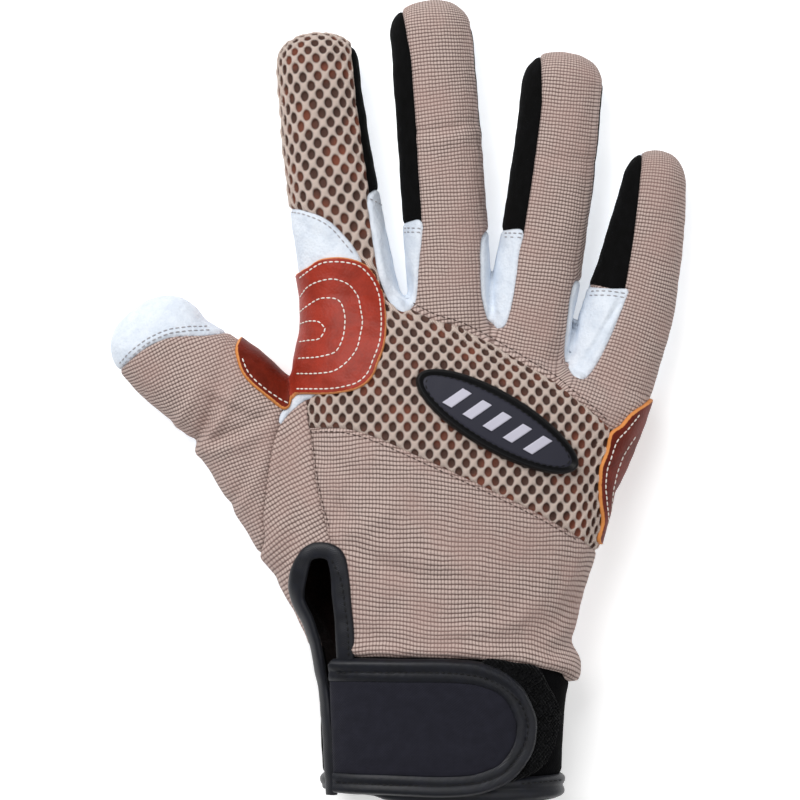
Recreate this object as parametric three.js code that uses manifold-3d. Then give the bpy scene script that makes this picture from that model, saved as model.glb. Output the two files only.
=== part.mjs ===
// Right-hand climbing glove, lying palm down on a surface with the fingers along +Y and the thumb towards -X.
// It is sewn from thin panels: every panel is cut out of one hollow hand-shaped shell along its seams,
// and the patches, strap and badge are layers that lie on that shell. Sizes are in millimetres, +Z is up.
import * as THREE from "three";
import { mergeVertices } from "three/addons/utils/BufferGeometryUtils.js";
import Module from "manifold-3d";

const wasm = await Module();
wasm.setup();

// Driving sizes of the whole glove.
const handLength = 147; // wrist hem to the webs between the fingers
const hemToOrigin = 125; // wrist hem to the cross line that the plan is drawn from
const palmWidth = 107;
const handThickness = 35.5;
const wall = 1.5; // fabric or leather with its lining
const seamGap = 0.3; // between two panels, or between a layer and what it lies on
const palmSeamHeight = 10; // the palm leather comes up to this height all round
const press = 2.4; // how deep the underside is flattened by its own weight
const tipRound = 11; // length of a fingertip's rounded end
const tipFlat = 0.35; // share of its thickness that a fingertip keeps at its very end
const mouthOverrun = 6; // the hollow runs this far out of the wrist opening
const squareness = 2.35; // exponent of the oval sections, 2 is an ellipse

// Layers and trim.
const patchThickness = 1.2;
const patchFloor = 1.9; // the patches end at this height on the palm side
const loopThickness = 1.2;
const strapThickness = 2.0;
const strapInset = 3.6; // width of the strap's binding
const bindingProud = 0.8; // a binding stands this far out of what it binds
const bindingWidth = 4.2;
const badgeLength = 56;
const badgeWidth = 17;
const badgeThickness = 2.2;
const badgeTurn = -31.5; // degrees
const badgeRim = 2.2;
const badgeRimHeight = 0.7;
const badgeSides = 22;
const hemWidth = 5;

// Mesh fineness.
const handSides = 20;
const fingerSides = 12;
const fingerRows = 6;
const spanSteps = 1.5; // drawn spans to each span between two rows of an outline
const stripRows = 6;
const bindingRows = 21;
const bindingQuarter = 3;
const capTurns = [0.36, 0.68, 0.92]; // where a fingertip's rings lie on its quarter round

// Sections of the hand from hem to web. along is a share of handLength, centre and width shares of palmWidth,
// top is a share of handThickness, and lean is how far a section runs back towards the little finger.
const handRows = [
  { along: 0.0, centre: 0.124, width: 0.7, top: 0.87, lean: 0 },
  { along: 0.136, centre: 0.122, width: 0.715, top: 0.88, lean: 0 },
  { along: 0.238, centre: 0.12, width: 0.745, top: 0.9, lean: 0 },
  { along: 0.292, centre: 0.128, width: 0.797, top: 0.94, lean: 0 },
  { along: 0.354, centre: 0.11, width: 0.781, top: 0.945, lean: 0 },
  { along: 0.469, centre: 0.12, width: 0.86, top: 0.965, lean: 0 },
  { along: 0.605, centre: 0.135, width: 0.925, top: 0.99, lean: 0 },
  { along: 0.728, centre: 0.158, width: 0.95, top: 1.0, lean: -0.03 },
  { along: 0.837, centre: 0.192, width: 0.985, top: 0.985, lean: -0.14 },
  { along: 0.918, centre: 0.215, width: 0.99, top: 0.9, lean: -0.28 },
  { along: 0.972, centre: 0.224, width: 0.93, top: 0.74, lean: -0.37 },
  { along: 1.0, centre: 0.232, width: 0.82, top: 0.5, lean: -0.4 },
];

// Each finger: where its root lies on the hand, as shares, then its own sizes, and bow as its sideways bend.
const fingers = {
  index: {
    rootAcross: -0.575, rootAlong: 0.864, length: 108.8, splay: -8.4, bow: -2.2,
    rootWidth: 31.5, middleWidth: 27.4, tipWidth: 25.6, rootThickness: 24, tipThickness: 18,
  },
  middle: {
    rootAcross: -0.07, rootAlong: 0.85, length: 125.8, splay: -3.9, bow: 0.9,
    rootWidth: 27.8, middleWidth: 26.2, tipWidth: 25.2, rootThickness: 25, tipThickness: 18,
  },
  ring: {
    rootAcross: 0.28, rootAlong: 0.823, length: 115.6, splay: 8.1, bow: 1.9,
    rootWidth: 29, middleWidth: 26.2, tipWidth: 25.2, rootThickness: 24, tipThickness: 17.5,
  },
  little: {
    rootAcross: 0.72, rootAlong: 0.755, length: 96.8, splay: 14.6, bow: 4.6,
    rootWidth: 30, middleWidth: 26, tipWidth: 19.5, rootThickness: 22, tipThickness: 16,
  },
};

// The thumb's centreline from its root on the hand: across and along are shares of thumbLength.
const thumbLength = 118;
const thumbWidth = 36;
const thumbThickness = 26;
const thumbRoot = { across: -0.76, along: 0.36 };
const thumbRows = [
  { across: 0, along: 0, width: 0.5, thickness: 1.1 },
  { across: -0.056, along: 0.161, width: 0.73, thickness: 1.1 },
  { across: -0.129, along: 0.347, width: 0.92, thickness: 1.06 },
  { across: -0.214, along: 0.509, width: 1.0, thickness: 1.0 },
  { across: -0.271, along: 0.589, width: 0.97, thickness: 0.96 },
  { across: -0.336, along: 0.653, width: 0.92, thickness: 0.92 },
  { across: -0.438, along: 0.735, width: 0.89, thickness: 0.85 },
  { across: -0.519, along: 0.842, width: 0.86, thickness: 0.76 },
];

// Turns a closed three.js geometry into a solid that can be cut and joined.
function solid(geometry) {
  geometry.deleteAttribute("normal");
  geometry.deleteAttribute("uv");
  const merged = mergeVertices(geometry, 1e-4);
  return new wasm.Manifold(
    new wasm.Mesh({
      numProp: 3,
      vertProperties: merged.attributes.position.array,
      triVerts: new Uint32Array(merged.index.array),
    }),
  );
}

// The triangles of a mesh's largest body. Offcuts are the crumbs that a slanting cut leaves at a seam.
function withoutOffcuts(mesh) {
  const parent = Array.from({ length: mesh.numVert }, (_, i) => i);
  const root = (i) => {
    while (parent[i] !== i) i = parent[i];
    return i;
  };
  const triangles = [];
  for (let i = 0; i < mesh.triVerts.length; i += 3) {
    const triangle = Array.from(mesh.triVerts.slice(i, i + 3));
    triangles.push(triangle);
    for (const corner of triangle.slice(1)) parent[root(corner)] = root(triangle[0]);
  }
  const counts = new Map();
  for (const [first] of triangles) counts.set(root(first), (counts.get(root(first)) ?? 0) + 1);
  const largest = [...counts].sort((a, b) => b[1] - a[1])[0][0];
  return triangles.filter(([first]) => root(first) === largest).flat();
}

function geometryOf(manifold) {
  const mesh = manifold.getMesh();
  const positions = new Float32Array(mesh.numVert * 3);
  for (let i = 0; i < mesh.numVert; i++) {
    positions.set(mesh.vertProperties.subarray(i * mesh.numProp, i * mesh.numProp + 3), i * 3);
  }
  const geometry = new THREE.BufferGeometry();
  geometry.setAttribute("position", new THREE.BufferAttribute(positions, 3));
  geometry.setIndex(withoutOffcuts(mesh));
  geometry.computeVertexNormals();
  return geometry;
}

const unite = (solids) => solids.reduce((whole, one) => whole.add(one));

// A column of a table at a share along it, smoothed through the rows.
function column(rows, name, key, share) {
  let i = 0;
  while (i < rows.length - 2 && rows[i + 1][key] < share) i++;
  const a = rows[i];
  const b = rows[i + 1];
  const f = THREE.MathUtils.clamp((share - a[key]) / (b[key] - a[key]), 0, 1);
  return THREE.MathUtils.lerp(a[name], b[name], f);
}

// A closed body through rings of equally many points, each end closed with a fan.
function loft(rings) {
  const sides = rings[0].length;
  const positions = rings.flat().flatMap((p) => [p.x, p.y, p.z]);
  const indices = [];
  for (let r = 0; r < rings.length - 1; r++) {
    for (let k = 0; k < sides; k++) {
      const a = r * sides + k;
      const b = r * sides + ((k + 1) % sides);
      indices.push(a, a + sides, b, b, a + sides, b + sides);
    }
  }
  const close = (ring, first, outward) => {
    const middle = ring.reduce((sum, p) => sum.add(p), new THREE.Vector3()).divideScalar(sides);
    const centre = positions.length / 3;
    positions.push(middle.x, middle.y, middle.z);
    for (let k = 0; k < sides; k++) {
      const a = first + k;
      const b = first + ((k + 1) % sides);
      if (outward) indices.push(b, a, centre);
      else indices.push(a, b, centre);
    }
  };
  close(rings[0], 0, false);
  close(rings[rings.length - 1], (rings.length - 1) * sides, true);
  const geometry = new THREE.BufferGeometry();
  geometry.setAttribute("position", new THREE.Float32BufferAttribute(positions, 3));
  geometry.setIndex(indices);
  return solid(geometry);
}

// One oval section. It rests on the floor, where it is flattened, and offset moves its wall in or out.
function oval({ centre, side, width, thickness, sides, offset, lean = 0 }) {
  const half = thickness / 2;
  const points = [];
  for (let k = 0; k < sides; k++) {
    const angle = (2 * Math.PI * k) / sides;
    const c = Math.cos(angle);
    const s = Math.sin(angle);
    const reach = Math.sign(c) * Math.abs(c) ** (2 / squareness) * (width / 2 + offset);
    const rise = Math.sign(s) * Math.abs(s) ** (2 / squareness) * (half + offset);
    const height = Math.max(half - press + rise, -offset);
    points.push(
      new THREE.Vector3(
        centre.x + side.x * reach,
        centre.y + side.y * reach + lean * reach,
        height,
      ),
    );
  }
  return points;
}

// Plan position of a point on the hand: across runs from -1 at the thumb side to 1, along from hem to web.
function onHand(across, along) {
  const width = column(handRows, "width", "along", along) * palmWidth;
  const reach = (across * width) / 2;
  const lean = column(handRows, "lean", "along", along);
  return new THREE.Vector2(
    column(handRows, "centre", "along", along) * palmWidth + reach,
    along * handLength - hemToOrigin + lean * reach,
  );
}

function hand(offset) {
  const rings = handRows.map((row, i) => {
    const centre = onHand(0, row.along);
    if (i === 0 && offset < 0) centre.y -= mouthOverrun;
    if (i === handRows.length - 1) centre.y += offset;
    return oval({
      centre,
      side: new THREE.Vector2(1, 0),
      width: row.width * palmWidth,
      thickness: row.top * handThickness + press,
      sides: handSides,
      offset,
      lean: row.lean,
    });
  });
  return loft(rings);
}

// A finger as a centreline in plan with a width and a thickness at each share of its length.
function fingerLine(finger) {
  const root = onHand(finger.rootAcross, finger.rootAlong);
  const splay = THREE.MathUtils.degToRad(finger.splay);
  const direction = new THREE.Vector2(Math.sin(splay), Math.cos(splay));
  const tip = root.clone().addScaledVector(direction, finger.length);
  const bend = new THREE.Vector2(direction.y, -direction.x).multiplyScalar(2 * finger.bow);
  const middle = root.clone().add(tip).multiplyScalar(0.5).add(bend);
  return {
    curve: new THREE.QuadraticBezierCurve(root, middle, tip),
    width: (t) =>
      t < 0.5
        ? THREE.MathUtils.lerp(finger.rootWidth, finger.middleWidth, t / 0.5)
        : THREE.MathUtils.lerp(finger.middleWidth, finger.tipWidth, (t - 0.5) / 0.5),
    thickness: (t) => THREE.MathUtils.lerp(finger.rootThickness, finger.tipThickness, t),
  };
}

function thumbLine() {
  const root = onHand(thumbRoot.across, thumbRoot.along);
  const points = thumbRows.map(
    (row) => new THREE.Vector2(root.x + row.across * thumbLength, root.y + row.along * thumbLength),
  );
  const rows = thumbRows.map((row, i) => ({ ...row, share: i / (thumbRows.length - 1) }));
  return {
    curve: new THREE.SplineCurve(points),
    width: (t) => column(rows, "width", "share", t) * thumbWidth,
    thickness: (t) => column(rows, "thickness", "share", t) * thumbThickness,
  };
}

const lines = Object.fromEntries(
  Object.entries(fingers).map(([name, finger]) => [name, fingerLine(finger)]),
);
lines.thumb = thumbLine();

// A finger's body: even sections up to the rounded end, which closes along a quarter of a round.
function fingerBody(line, offset) {
  const length = line.curve.getLength();
  const bodyEnd = 1 - tipRound / length;
  const stations = [];
  for (let i = 0; i <= fingerRows; i++) stations.push({ t: (bodyEnd * i) / fingerRows, scale: 1 });
  for (const turn of capTurns) {
    const angle = (turn * Math.PI) / 2;
    stations.push({
      t: bodyEnd + (1 - bodyEnd) * Math.sin(angle) ** (2 / squareness),
      scale: Math.cos(angle) ** (2 / squareness),
    });
  }
  const rings = stations.map(({ t, scale }) => {
    const at = line.curve.getPoint(t);
    const tangent = line.curve.getTangent(t);
    if (t === 0) at.addScaledVector(tangent, -offset);
    if (t > bodyEnd) at.addScaledVector(tangent, offset * ((t - bodyEnd) / (1 - bodyEnd)));
    return oval({
      centre: at,
      side: new THREE.Vector2(tangent.y, -tangent.x),
      width: line.width(t) * scale,
      thickness: line.thickness(t) * THREE.MathUtils.lerp(tipFlat, 1, scale) + press,
      sides: fingerSides,
      offset: offset * Math.max(scale, tipFlat),
    });
  });
  return loft(rings);
}

function glove(offset) {
  return unite([hand(offset), ...Object.values(lines).map((line) => fingerBody(line, offset))]);
}

// Plan position from shares: across of palmWidth from the middle line, along of handLength from the hem.
const plan = ({ across, along }) =>
  new THREE.Vector2(across * palmWidth, along * handLength - hemToOrigin);

// Seams in plan, each from one end to the other.
const seamLines = {
  knuckle: [
    { across: 0.0, along: 1.06 },
    { across: 0.037, along: 1.045 },
    { across: 0.177, along: 1.004 },
    { across: 0.323, along: 0.947 },
    { across: 0.445, along: 0.892 },
    { across: 0.548, along: 0.83 },
    { across: 0.603, along: 0.79 },
    { across: 0.76, along: 0.7 },
  ],
  band: [
    { across: -0.4, along: 0.8 },
    { across: -0.261, along: 0.792 },
    { across: -0.136, along: 0.786 },
    { across: -0.025, along: 0.76 },
    { across: 0.168, along: 0.694 },
    { across: 0.334, along: 0.635 },
    { across: 0.501, along: 0.569 },
    { across: 0.562, along: 0.537 },
    { across: 0.7, along: 0.477 },
  ],
  gusset: [
    { across: -0.295, along: 0.9 },
    { across: -0.273, along: 0.839 },
    { across: -0.261, along: 0.775 },
    { across: -0.241, along: 0.679 },
    { across: -0.215, along: 0.586 },
    { across: -0.194, along: 0.5 },
    { across: -0.19, along: 0.3 },
  ],
  thumb: [
    { across: -0.34, along: 0.96 },
    { across: -0.315, along: 0.86 },
    { across: -0.337, along: 0.807 },
    { across: -0.367, along: 0.747 },
    { across: -0.387, along: 0.669 },
    { across: -0.402, along: 0.573 },
    { across: -0.46, along: 0.45 },
  ],
  thumbCap: [
    { across: -0.87, along: 0.87 },
    { across: -0.825, along: 0.911 },
    { across: -0.778, along: 0.939 },
    { across: -0.729, along: 0.964 },
    { across: -0.673, along: 0.981 },
    { across: -0.621, along: 0.987 },
    { across: -0.53, along: 0.992 },
    { across: -0.46, along: 0.98 },
  ],
  cuff: [
    { across: -0.5, along: 0.335 },
    { across: -0.258, along: 0.328 },
    { across: -0.057, along: 0.316 },
    { across: 0.168, along: 0.311 },
    { across: 0.323, along: 0.301 },
    { across: 0.434, along: 0.284 },
    { across: 0.492, along: 0.254 },
    { across: 0.7, along: 0.212 },
  ],
};

// Small panels and layers in plan, each outline in turn from its lowest row on the thumb side.
const outlines = {
  index_side_leather: [
    { across: -0.42, along: 1.03 },
    { across: -0.42, along: 1.26 },
    { across: -0.279, along: 1.249 },
    { across: -0.194, along: 1.221 },
    { across: -0.147, along: 1.187 },
    { across: -0.112, along: 1.143 },
    { across: -0.159, along: 1.083 },
    { across: -0.24, along: 1.03 },
  ],
  crotch_index_middle: [
    { across: 0.01, along: 1.03 },
    { across: -0.037, along: 1.075 },
    { across: -0.06, along: 1.119 },
    { across: -0.08, along: 1.2 },
    { across: -0.096, along: 1.283 },
    { across: -0.03, along: 1.283 },
    { across: 0.013, along: 1.228 },
    { across: 0.057, along: 1.228 },
    { across: 0.048, along: 1.13 },
    { across: 0.039, along: 1.055 },
  ],
  crotch_middle_ring: [
    { across: 0.285, along: 0.985 },
    { across: 0.24, along: 1.047 },
    { across: 0.225, along: 1.115 },
    { across: 0.225, along: 1.2 },
    { across: 0.302, along: 1.213 },
    { across: 0.355, along: 1.211 },
    { across: 0.337, along: 1.083 },
    { across: 0.322, along: 1.015 },
  ],
  crotch_ring_little: [
    { across: 0.527, along: 0.885 },
    { across: 0.48, along: 0.966 },
    { across: 0.496, along: 1.062 },
    { across: 0.51, along: 1.126 },
    { across: 0.6, along: 1.135 },
    { across: 0.679, along: 1.092 },
    { across: 0.638, along: 1.034 },
    { across: 0.586, along: 0.947 },
  ],
  patch_index: [
    { across: -0.31, along: 0.862 },
    { across: -0.36, along: 0.95 },
    { across: -0.36, along: 1.09 },
    { across: -0.288, along: 1.121 },
    { across: -0.258, along: 1.134 },
    { across: -0.183, along: 1.151 },
    { across: -0.104, along: 1.136 },
    { across: -0.063, along: 1.096 },
    { across: -0.039, along: 1.024 },
    { across: -0.045, along: 0.96 },
    { across: -0.08, along: 0.896 },
    { across: -0.156, along: 0.866 },
  ],
  patch_thumb: [
    { across: -0.343, along: 0.832 },
    { across: -0.393, along: 0.86 },
    { across: -0.431, along: 0.883 },
    { across: -0.457, along: 0.907 },
    { across: -0.478, along: 0.94 },
    { across: -0.478, along: 0.99 },
    { across: -0.42, along: 0.97 },
    { across: -0.36, along: 0.93 },
    { across: -0.325, along: 0.89 },
    { across: -0.325, along: 0.84 },
  ],
  patch_outer_edge: [
    { across: 0.577, along: 0.556 },
    { across: 0.577, along: 0.594 },
    { across: 0.571, along: 0.675 },
    { across: 0.574, along: 0.711 },
    { across: 0.591, along: 0.745 },
    { across: 0.603, along: 0.781 },
    { across: 0.635, along: 0.798 },
    { across: 0.702, along: 0.839 },
    { across: 0.78, along: 0.83 },
    { across: 0.75, along: 0.7 },
    { across: 0.68, along: 0.56 },
  ],
  strap: [
    { across: -0.168, along: 0.024 },
    { across: -0.168, along: 0.309 },
    { across: 0.121, along: 0.311 },
    { across: 0.256, along: 0.299 },
    { across: 0.346, along: 0.256 },
    { across: 0.39, along: 0.184 },
    { across: 0.381, along: 0.118 },
    { across: 0.323, along: 0.056 },
    { across: 0.212, along: 0.024 },
  ],
  loop_patch: [
    { across: 0.3, along: 0.052 },
    { across: 0.25, along: 0.2 },
    { across: 0.256, along: 0.305 },
    { across: 0.396, along: 0.294 },
    { across: 0.425, along: 0.256 },
    { across: 0.463, along: 0.184 },
    { across: 0.454, along: 0.146 },
    { across: 0.413, along: 0.082 },
    { across: 0.352, along: 0.052 },
  ],
};

// The slit's rolled edge in plan, from the hem up the thumb side, round the top and down to the strap.
const slitEdge = [
  { across: -0.2, along: 0.0 },
  { across: -0.2, along: 0.084 },
  { across: -0.212, along: 0.169 },
  { across: -0.232, along: 0.254 },
  { across: -0.246, along: 0.318 },
  { across: -0.266, along: 0.382 },
  { across: -0.286, along: 0.433 },
  { across: -0.284, along: 0.484 },
  { across: -0.253, along: 0.522 },
  { across: -0.203, along: 0.53 },
  { across: -0.166, along: 0.5 },
  { across: -0.156, along: 0.445 },
  { across: -0.15, along: 0.382 },
  { across: -0.144, along: 0.322 },
];
const backFloor = 12; // the slit and the layers on the back lie above this height

// Side strips of the fingers: side is 1 away from the thumb, from and to are shares of the finger's length,
// and inset, a share of its width, is how far a strip comes in from the side.
const strips = [
  { name: "index_side_strip", finger: "index", side: 1, from: 0.54, to: 0.96, inset: 0.11 },
  { name: "middle_thumbward_strip", finger: "middle", side: -1, from: 0.44, to: 0.97, inset: 0.153 },
  { name: "middle_outward_strip", finger: "middle", side: 1, from: 0.5, to: 0.96, inset: 0.053 },
  { name: "ring_thumbward_strip", finger: "ring", side: -1, from: 0.51, to: 0.97, inset: 0.153 },
  { name: "ring_outward_strip", finger: "ring", side: 1, from: 0.53, to: 0.95, inset: 0.061 },
  { name: "little_side_strip", finger: "little", side: -1, from: 0.45, to: 0.95, inset: 0.195 },
];
const stripReach = 2.2; // how far a strip's cutter goes out past the finger

// The badge's place and its raised bars, which lean like the lay of a rope.
const badgePlace = { across: 0.276, along: 0.805 };
const badgeBars = { count: 5, pitch: 7.4, width: 3.4, height: 7, lean: 3.2, rise: 0.5 };

// Heights that are above, or below, everything.
const above = 80;
const below = -20;

// A line drawn smoothly through its rows.
function smooth(rows, closed = false) {
  const points = rows.map((row) => plan(row)).map((p) => new THREE.Vector3(p.x, p.y, 0));
  const curve = new THREE.CatmullRomCurve3(points, closed, "centripetal");
  const steps = Math.round((rows.length - (closed ? 0 : 1)) * spanSteps);
  const drawn = curve.getPoints(steps).map((p) => new THREE.Vector2(p.x, p.y));
  if (closed) drawn.pop();
  return drawn;
}

// An outline moved outwards by a distance, or inwards when that is negative. Sharp corners move no further
// than leastReach allows.
const leastReach = 0.7;
function moved(points, distance) {
  const turn = THREE.ShapeUtils.isClockWise(points) ? -1 : 1;
  return points.map((p, i) => {
    const before = points[(i + points.length - 1) % points.length];
    const after = points[(i + 1) % points.length];
    const a = p.clone().sub(before).normalize();
    const b = after.clone().sub(p).normalize();
    const normal = new THREE.Vector2(a.y + b.y, -a.x - b.x);
    const reach = Math.max(normal.lengthSq() / 2, leastReach);
    return p.clone().addScaledVector(normal, (turn * distance) / reach);
  });
}

function prism(points, low = below, high = above) {
  const geometry = new THREE.ExtrudeGeometry(new THREE.Shape(points), {
    depth: high - low,
    bevelEnabled: false,
    curveSegments: 1,
  });
  geometry.translate(0, 0, low);
  return solid(geometry);
}

const far = 3 * handLength;
const corner = (x, y) => new THREE.Vector2(x, y);

// Everything on the finger side of a seam line that crosses the whole glove.
const fingerwardOf = (line) => prism([...line, corner(far, far), corner(-far, far)]);

// Everything on the thumb side of a seam line that runs from the fingers to the wrist.
const thumbwardOf = (line) => prism([...line, corner(-far, -far), corner(-far, far)]);

// Height of the back of the hand over a plan point, which stays off the very side of the hand.
const sideShare = 0.98;
function backHeight(point) {
  const along = (point.y + hemToOrigin) / handLength;
  const half = (column(handRows, "top", "along", along) * handThickness + press) / 2;
  const centre = column(handRows, "centre", "along", along) * palmWidth;
  const reach = (column(handRows, "width", "along", along) * palmWidth) / 2;
  const share = Math.min(Math.abs(point.x - centre) / reach, sideShare);
  return half - press + half * (1 - share ** squareness) ** (1 / squareness);
}

// A rolled tape that follows the slit's edge, with both of its ends closed.
function rolledEdge(width) {
  const path = new THREE.CatmullRomCurve3(
    slitEdge.map((row) => {
      const p = plan(row);
      return new THREE.Vector3(p.x, p.y, backHeight(p) - wall / 2);
    }),
    false,
    "centripetal",
  );
  const round = new THREE.Shape();
  round.absarc(0, 0, width / 2, 0, 2 * Math.PI, false);
  const geometry = new THREE.ExtrudeGeometry(round, {
    steps: bindingRows,
    curveSegments: bindingQuarter,
    bevelEnabled: false,
    extrudePath: path,
  });
  return solid(geometry);
}

const outer = glove(0);
const shell = outer.subtract(glove(-wall));
const made = {};

// The slit is open from the hem to its round top.
const slitLine = smooth(slitEdge);
const slitEnd = slitLine[slitLine.length - 1];
const slit = prism([...slitLine, corner(slitEnd.x, -hemToOrigin - mouthOverrun)], backFloor, above);
const rolled = rolledEdge(bindingWidth);
const opened = shell.subtract(slit).subtract(rolledEdge(bindingWidth + 2 * seamGap));
made.slit_binding = rolled;

// Cuts one piece out of what is left of the shell and leaves a seam gap round it.
function cut(rest, name, region, grown) {
  made[name] = rest.intersect(region);
  return rest.subtract(grown);
}

function cutOutline(rest, name, points) {
  return cut(rest, name, prism(points), prism(moved(points, seamGap)));
}

const lowered = (line) => line.map((p) => corner(p.x, p.y - seamGap));

// The cuff and its hem are the wrist end of the shell, and the panels of the hand end at the cuff's edge.
const cuffLine = smooth(seamLines.cuff);
const handPart = opened.intersect(fingerwardOf(cuffLine));
const wrist = opened.subtract(fingerwardOf(lowered(cuffLine)));
const hemTop = hemWidth * 2 - hemToOrigin;
const hemCut = [corner(-far, hemTop), corner(far, hemTop)];
made.cuff_band = wrist.intersect(fingerwardOf(hemCut));
made.cuff_hem = wrist.subtract(fingerwardOf(lowered(hemCut)));

// The thumb's cap goes all round it, and all other panels are split along the palm's seam height.
const capLine = smooth(seamLines.thumbCap);
const capTop = corner(capLine[capLine.length - 1].x, far);
const capRegion = [...capLine, capTop, corner(-far, far), corner(-far, capLine[0].y)];
let rest = cutOutline(handPart, "thumb_cap", capRegion);
const everywhere = [corner(-far, -far), corner(far, -far), corner(far, far), corner(-far, far)];
made.palm_leather = rest.intersect(prism(everywhere, below, palmSeamHeight));
rest = rest.intersect(prism(everywhere, palmSeamHeight + seamGap, above));

for (const name of ["crotch_index_middle", "crotch_middle_ring", "crotch_ring_little"]) {
  rest = cutOutline(rest, name, smooth(outlines[name], true));
}

function stripOutline({ finger, side, from, to, inset }) {
  const line = lines[finger];
  const edge = (share, distance) =>
    Array.from({ length: stripRows + 1 }, (_, i) => {
      const t = THREE.MathUtils.lerp(from, to, i / stripRows);
      const tangent = line.curve.getTangent(t);
      const reach = side * (line.width(t) * share + distance);
      return line.curve.getPoint(t).add(corner(tangent.y * reach, -tangent.x * reach));
    });
  return [...edge(0.5 - inset, 0), ...edge(0.5, stripReach).reverse()];
}

for (const strip of strips) {
  rest = cutOutline(rest, strip.name, stripOutline(strip));
}

rest = cutOutline(rest, "index_side_leather", smooth(outlines.index_side_leather, true));

const thumbLineDrawn = smooth(seamLines.thumb);
const gussetLine = smooth(seamLines.gusset);
const bandLine = smooth(seamLines.band);
const knuckleLine = smooth(seamLines.knuckle);
const shifted = (line, x) => line.map((p) => corner(p.x + x, p.y));
const thumbSide = thumbwardOf(thumbLineDrawn);
rest = cut(rest, "woven_thumb_back", thumbSide, thumbwardOf(shifted(thumbLineDrawn, seamGap)));
rest = cut(rest, "woven_gusset", thumbwardOf(gussetLine), thumbwardOf(shifted(gussetLine, seamGap)));

// The woven panel of the three longer fingers lies on the far side of the first crotch.
const threeFingers = [...knuckleLine, corner(far, far), corner(knuckleLine[0].x, far)];
rest = cutOutline(rest, "woven_three_fingers", threeFingers);
rest = cut(rest, "mesh_index_and_knuckles", fingerwardOf(bandLine), fingerwardOf(lowered(bandLine)));
made.woven_hand_back = rest;

// A layer that lies on the glove: it has the glove's own form, moved out by the seam gap.
const resting = glove(seamGap);
function layer(points, thickness, low = patchFloor) {
  return glove(seamGap + thickness).subtract(resting).intersect(prism(points, low, above));
}

const thumbPatchLine = smooth(outlines.patch_thumb, true);
made.patch_thumb = layer(thumbPatchLine, patchThickness);
made.patch_index = layer(smooth(outlines.patch_index, true), patchThickness).subtract(
  prism(moved(thumbPatchLine, seamGap)),
);
made.patch_outer_edge = layer(smooth(outlines.patch_outer_edge, true), patchThickness);

// The strap's panel runs on to its thumb-side end, and its binding goes round the other three edges.
const strapLine = smooth(outlines.strap, true);
const strapEnd = plan(outlines.strap[0]).x;
const openEnd = (p) => (p.x < strapEnd + 2 * strapInset ? corner(strapEnd - 2 * strapInset, p.y) : p);
const inner = moved(strapLine, -strapInset).map(openEnd);
const room = rolledEdge(bindingWidth + 2 * seamGap);
made.strap_panel = layer(strapLine, strapThickness, backFloor)
  .intersect(prism(moved(inner, -seamGap)))
  .subtract(room);
made.strap_binding = layer(strapLine, strapThickness + bindingProud, backFloor)
  .subtract(prism(inner))
  .subtract(room);
made.loop_patch = layer(smooth(outlines.loop_patch, true), loopThickness, backFloor).subtract(
  prism(moved(strapLine, seamGap)),
);

// The badge's field is lower than its rim, and the bars stand on the field.
const badgeCentre = plan(badgePlace);
function ellipse(length, width) {
  const points = [];
  for (let k = 0; k < badgeSides; k++) {
    const angle = (2 * Math.PI * k) / badgeSides;
    const point = corner((Math.cos(angle) * length) / 2, (Math.sin(angle) * width) / 2);
    points.push(point.rotateAround(corner(0, 0), THREE.MathUtils.degToRad(badgeTurn)).add(badgeCentre));
  }
  return points;
}
function bar(index) {
  const middle = (index - (badgeBars.count - 1) / 2) * badgeBars.pitch;
  const corners = [
    corner(middle - badgeBars.width / 2 - badgeBars.lean / 2, -badgeBars.height / 2),
    corner(middle + badgeBars.width / 2 - badgeBars.lean / 2, -badgeBars.height / 2),
    corner(middle + badgeBars.width / 2 + badgeBars.lean / 2, badgeBars.height / 2),
    corner(middle - badgeBars.width / 2 + badgeBars.lean / 2, badgeBars.height / 2),
  ];
  return corners.map((p) =>
    p.rotateAround(corner(0, 0), THREE.MathUtils.degToRad(badgeTurn)).add(badgeCentre),
  );
}
const badgeOutline = ellipse(badgeLength, badgeWidth);
const badgeField = ellipse(badgeLength - 2 * badgeRim, badgeWidth - 2 * badgeRim);
const rim = layer(badgeOutline, badgeThickness + badgeRimHeight, backFloor).subtract(prism(badgeField));
const bars = unite(Array.from({ length: badgeBars.count }, (_, i) => prism(bar(i), backFloor)));
const raised = glove(seamGap + badgeThickness + badgeBars.rise).subtract(resting).intersect(bars);
made.badge = unite([layer(badgeOutline, badgeThickness, backFloor), rim, raised]);

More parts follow.
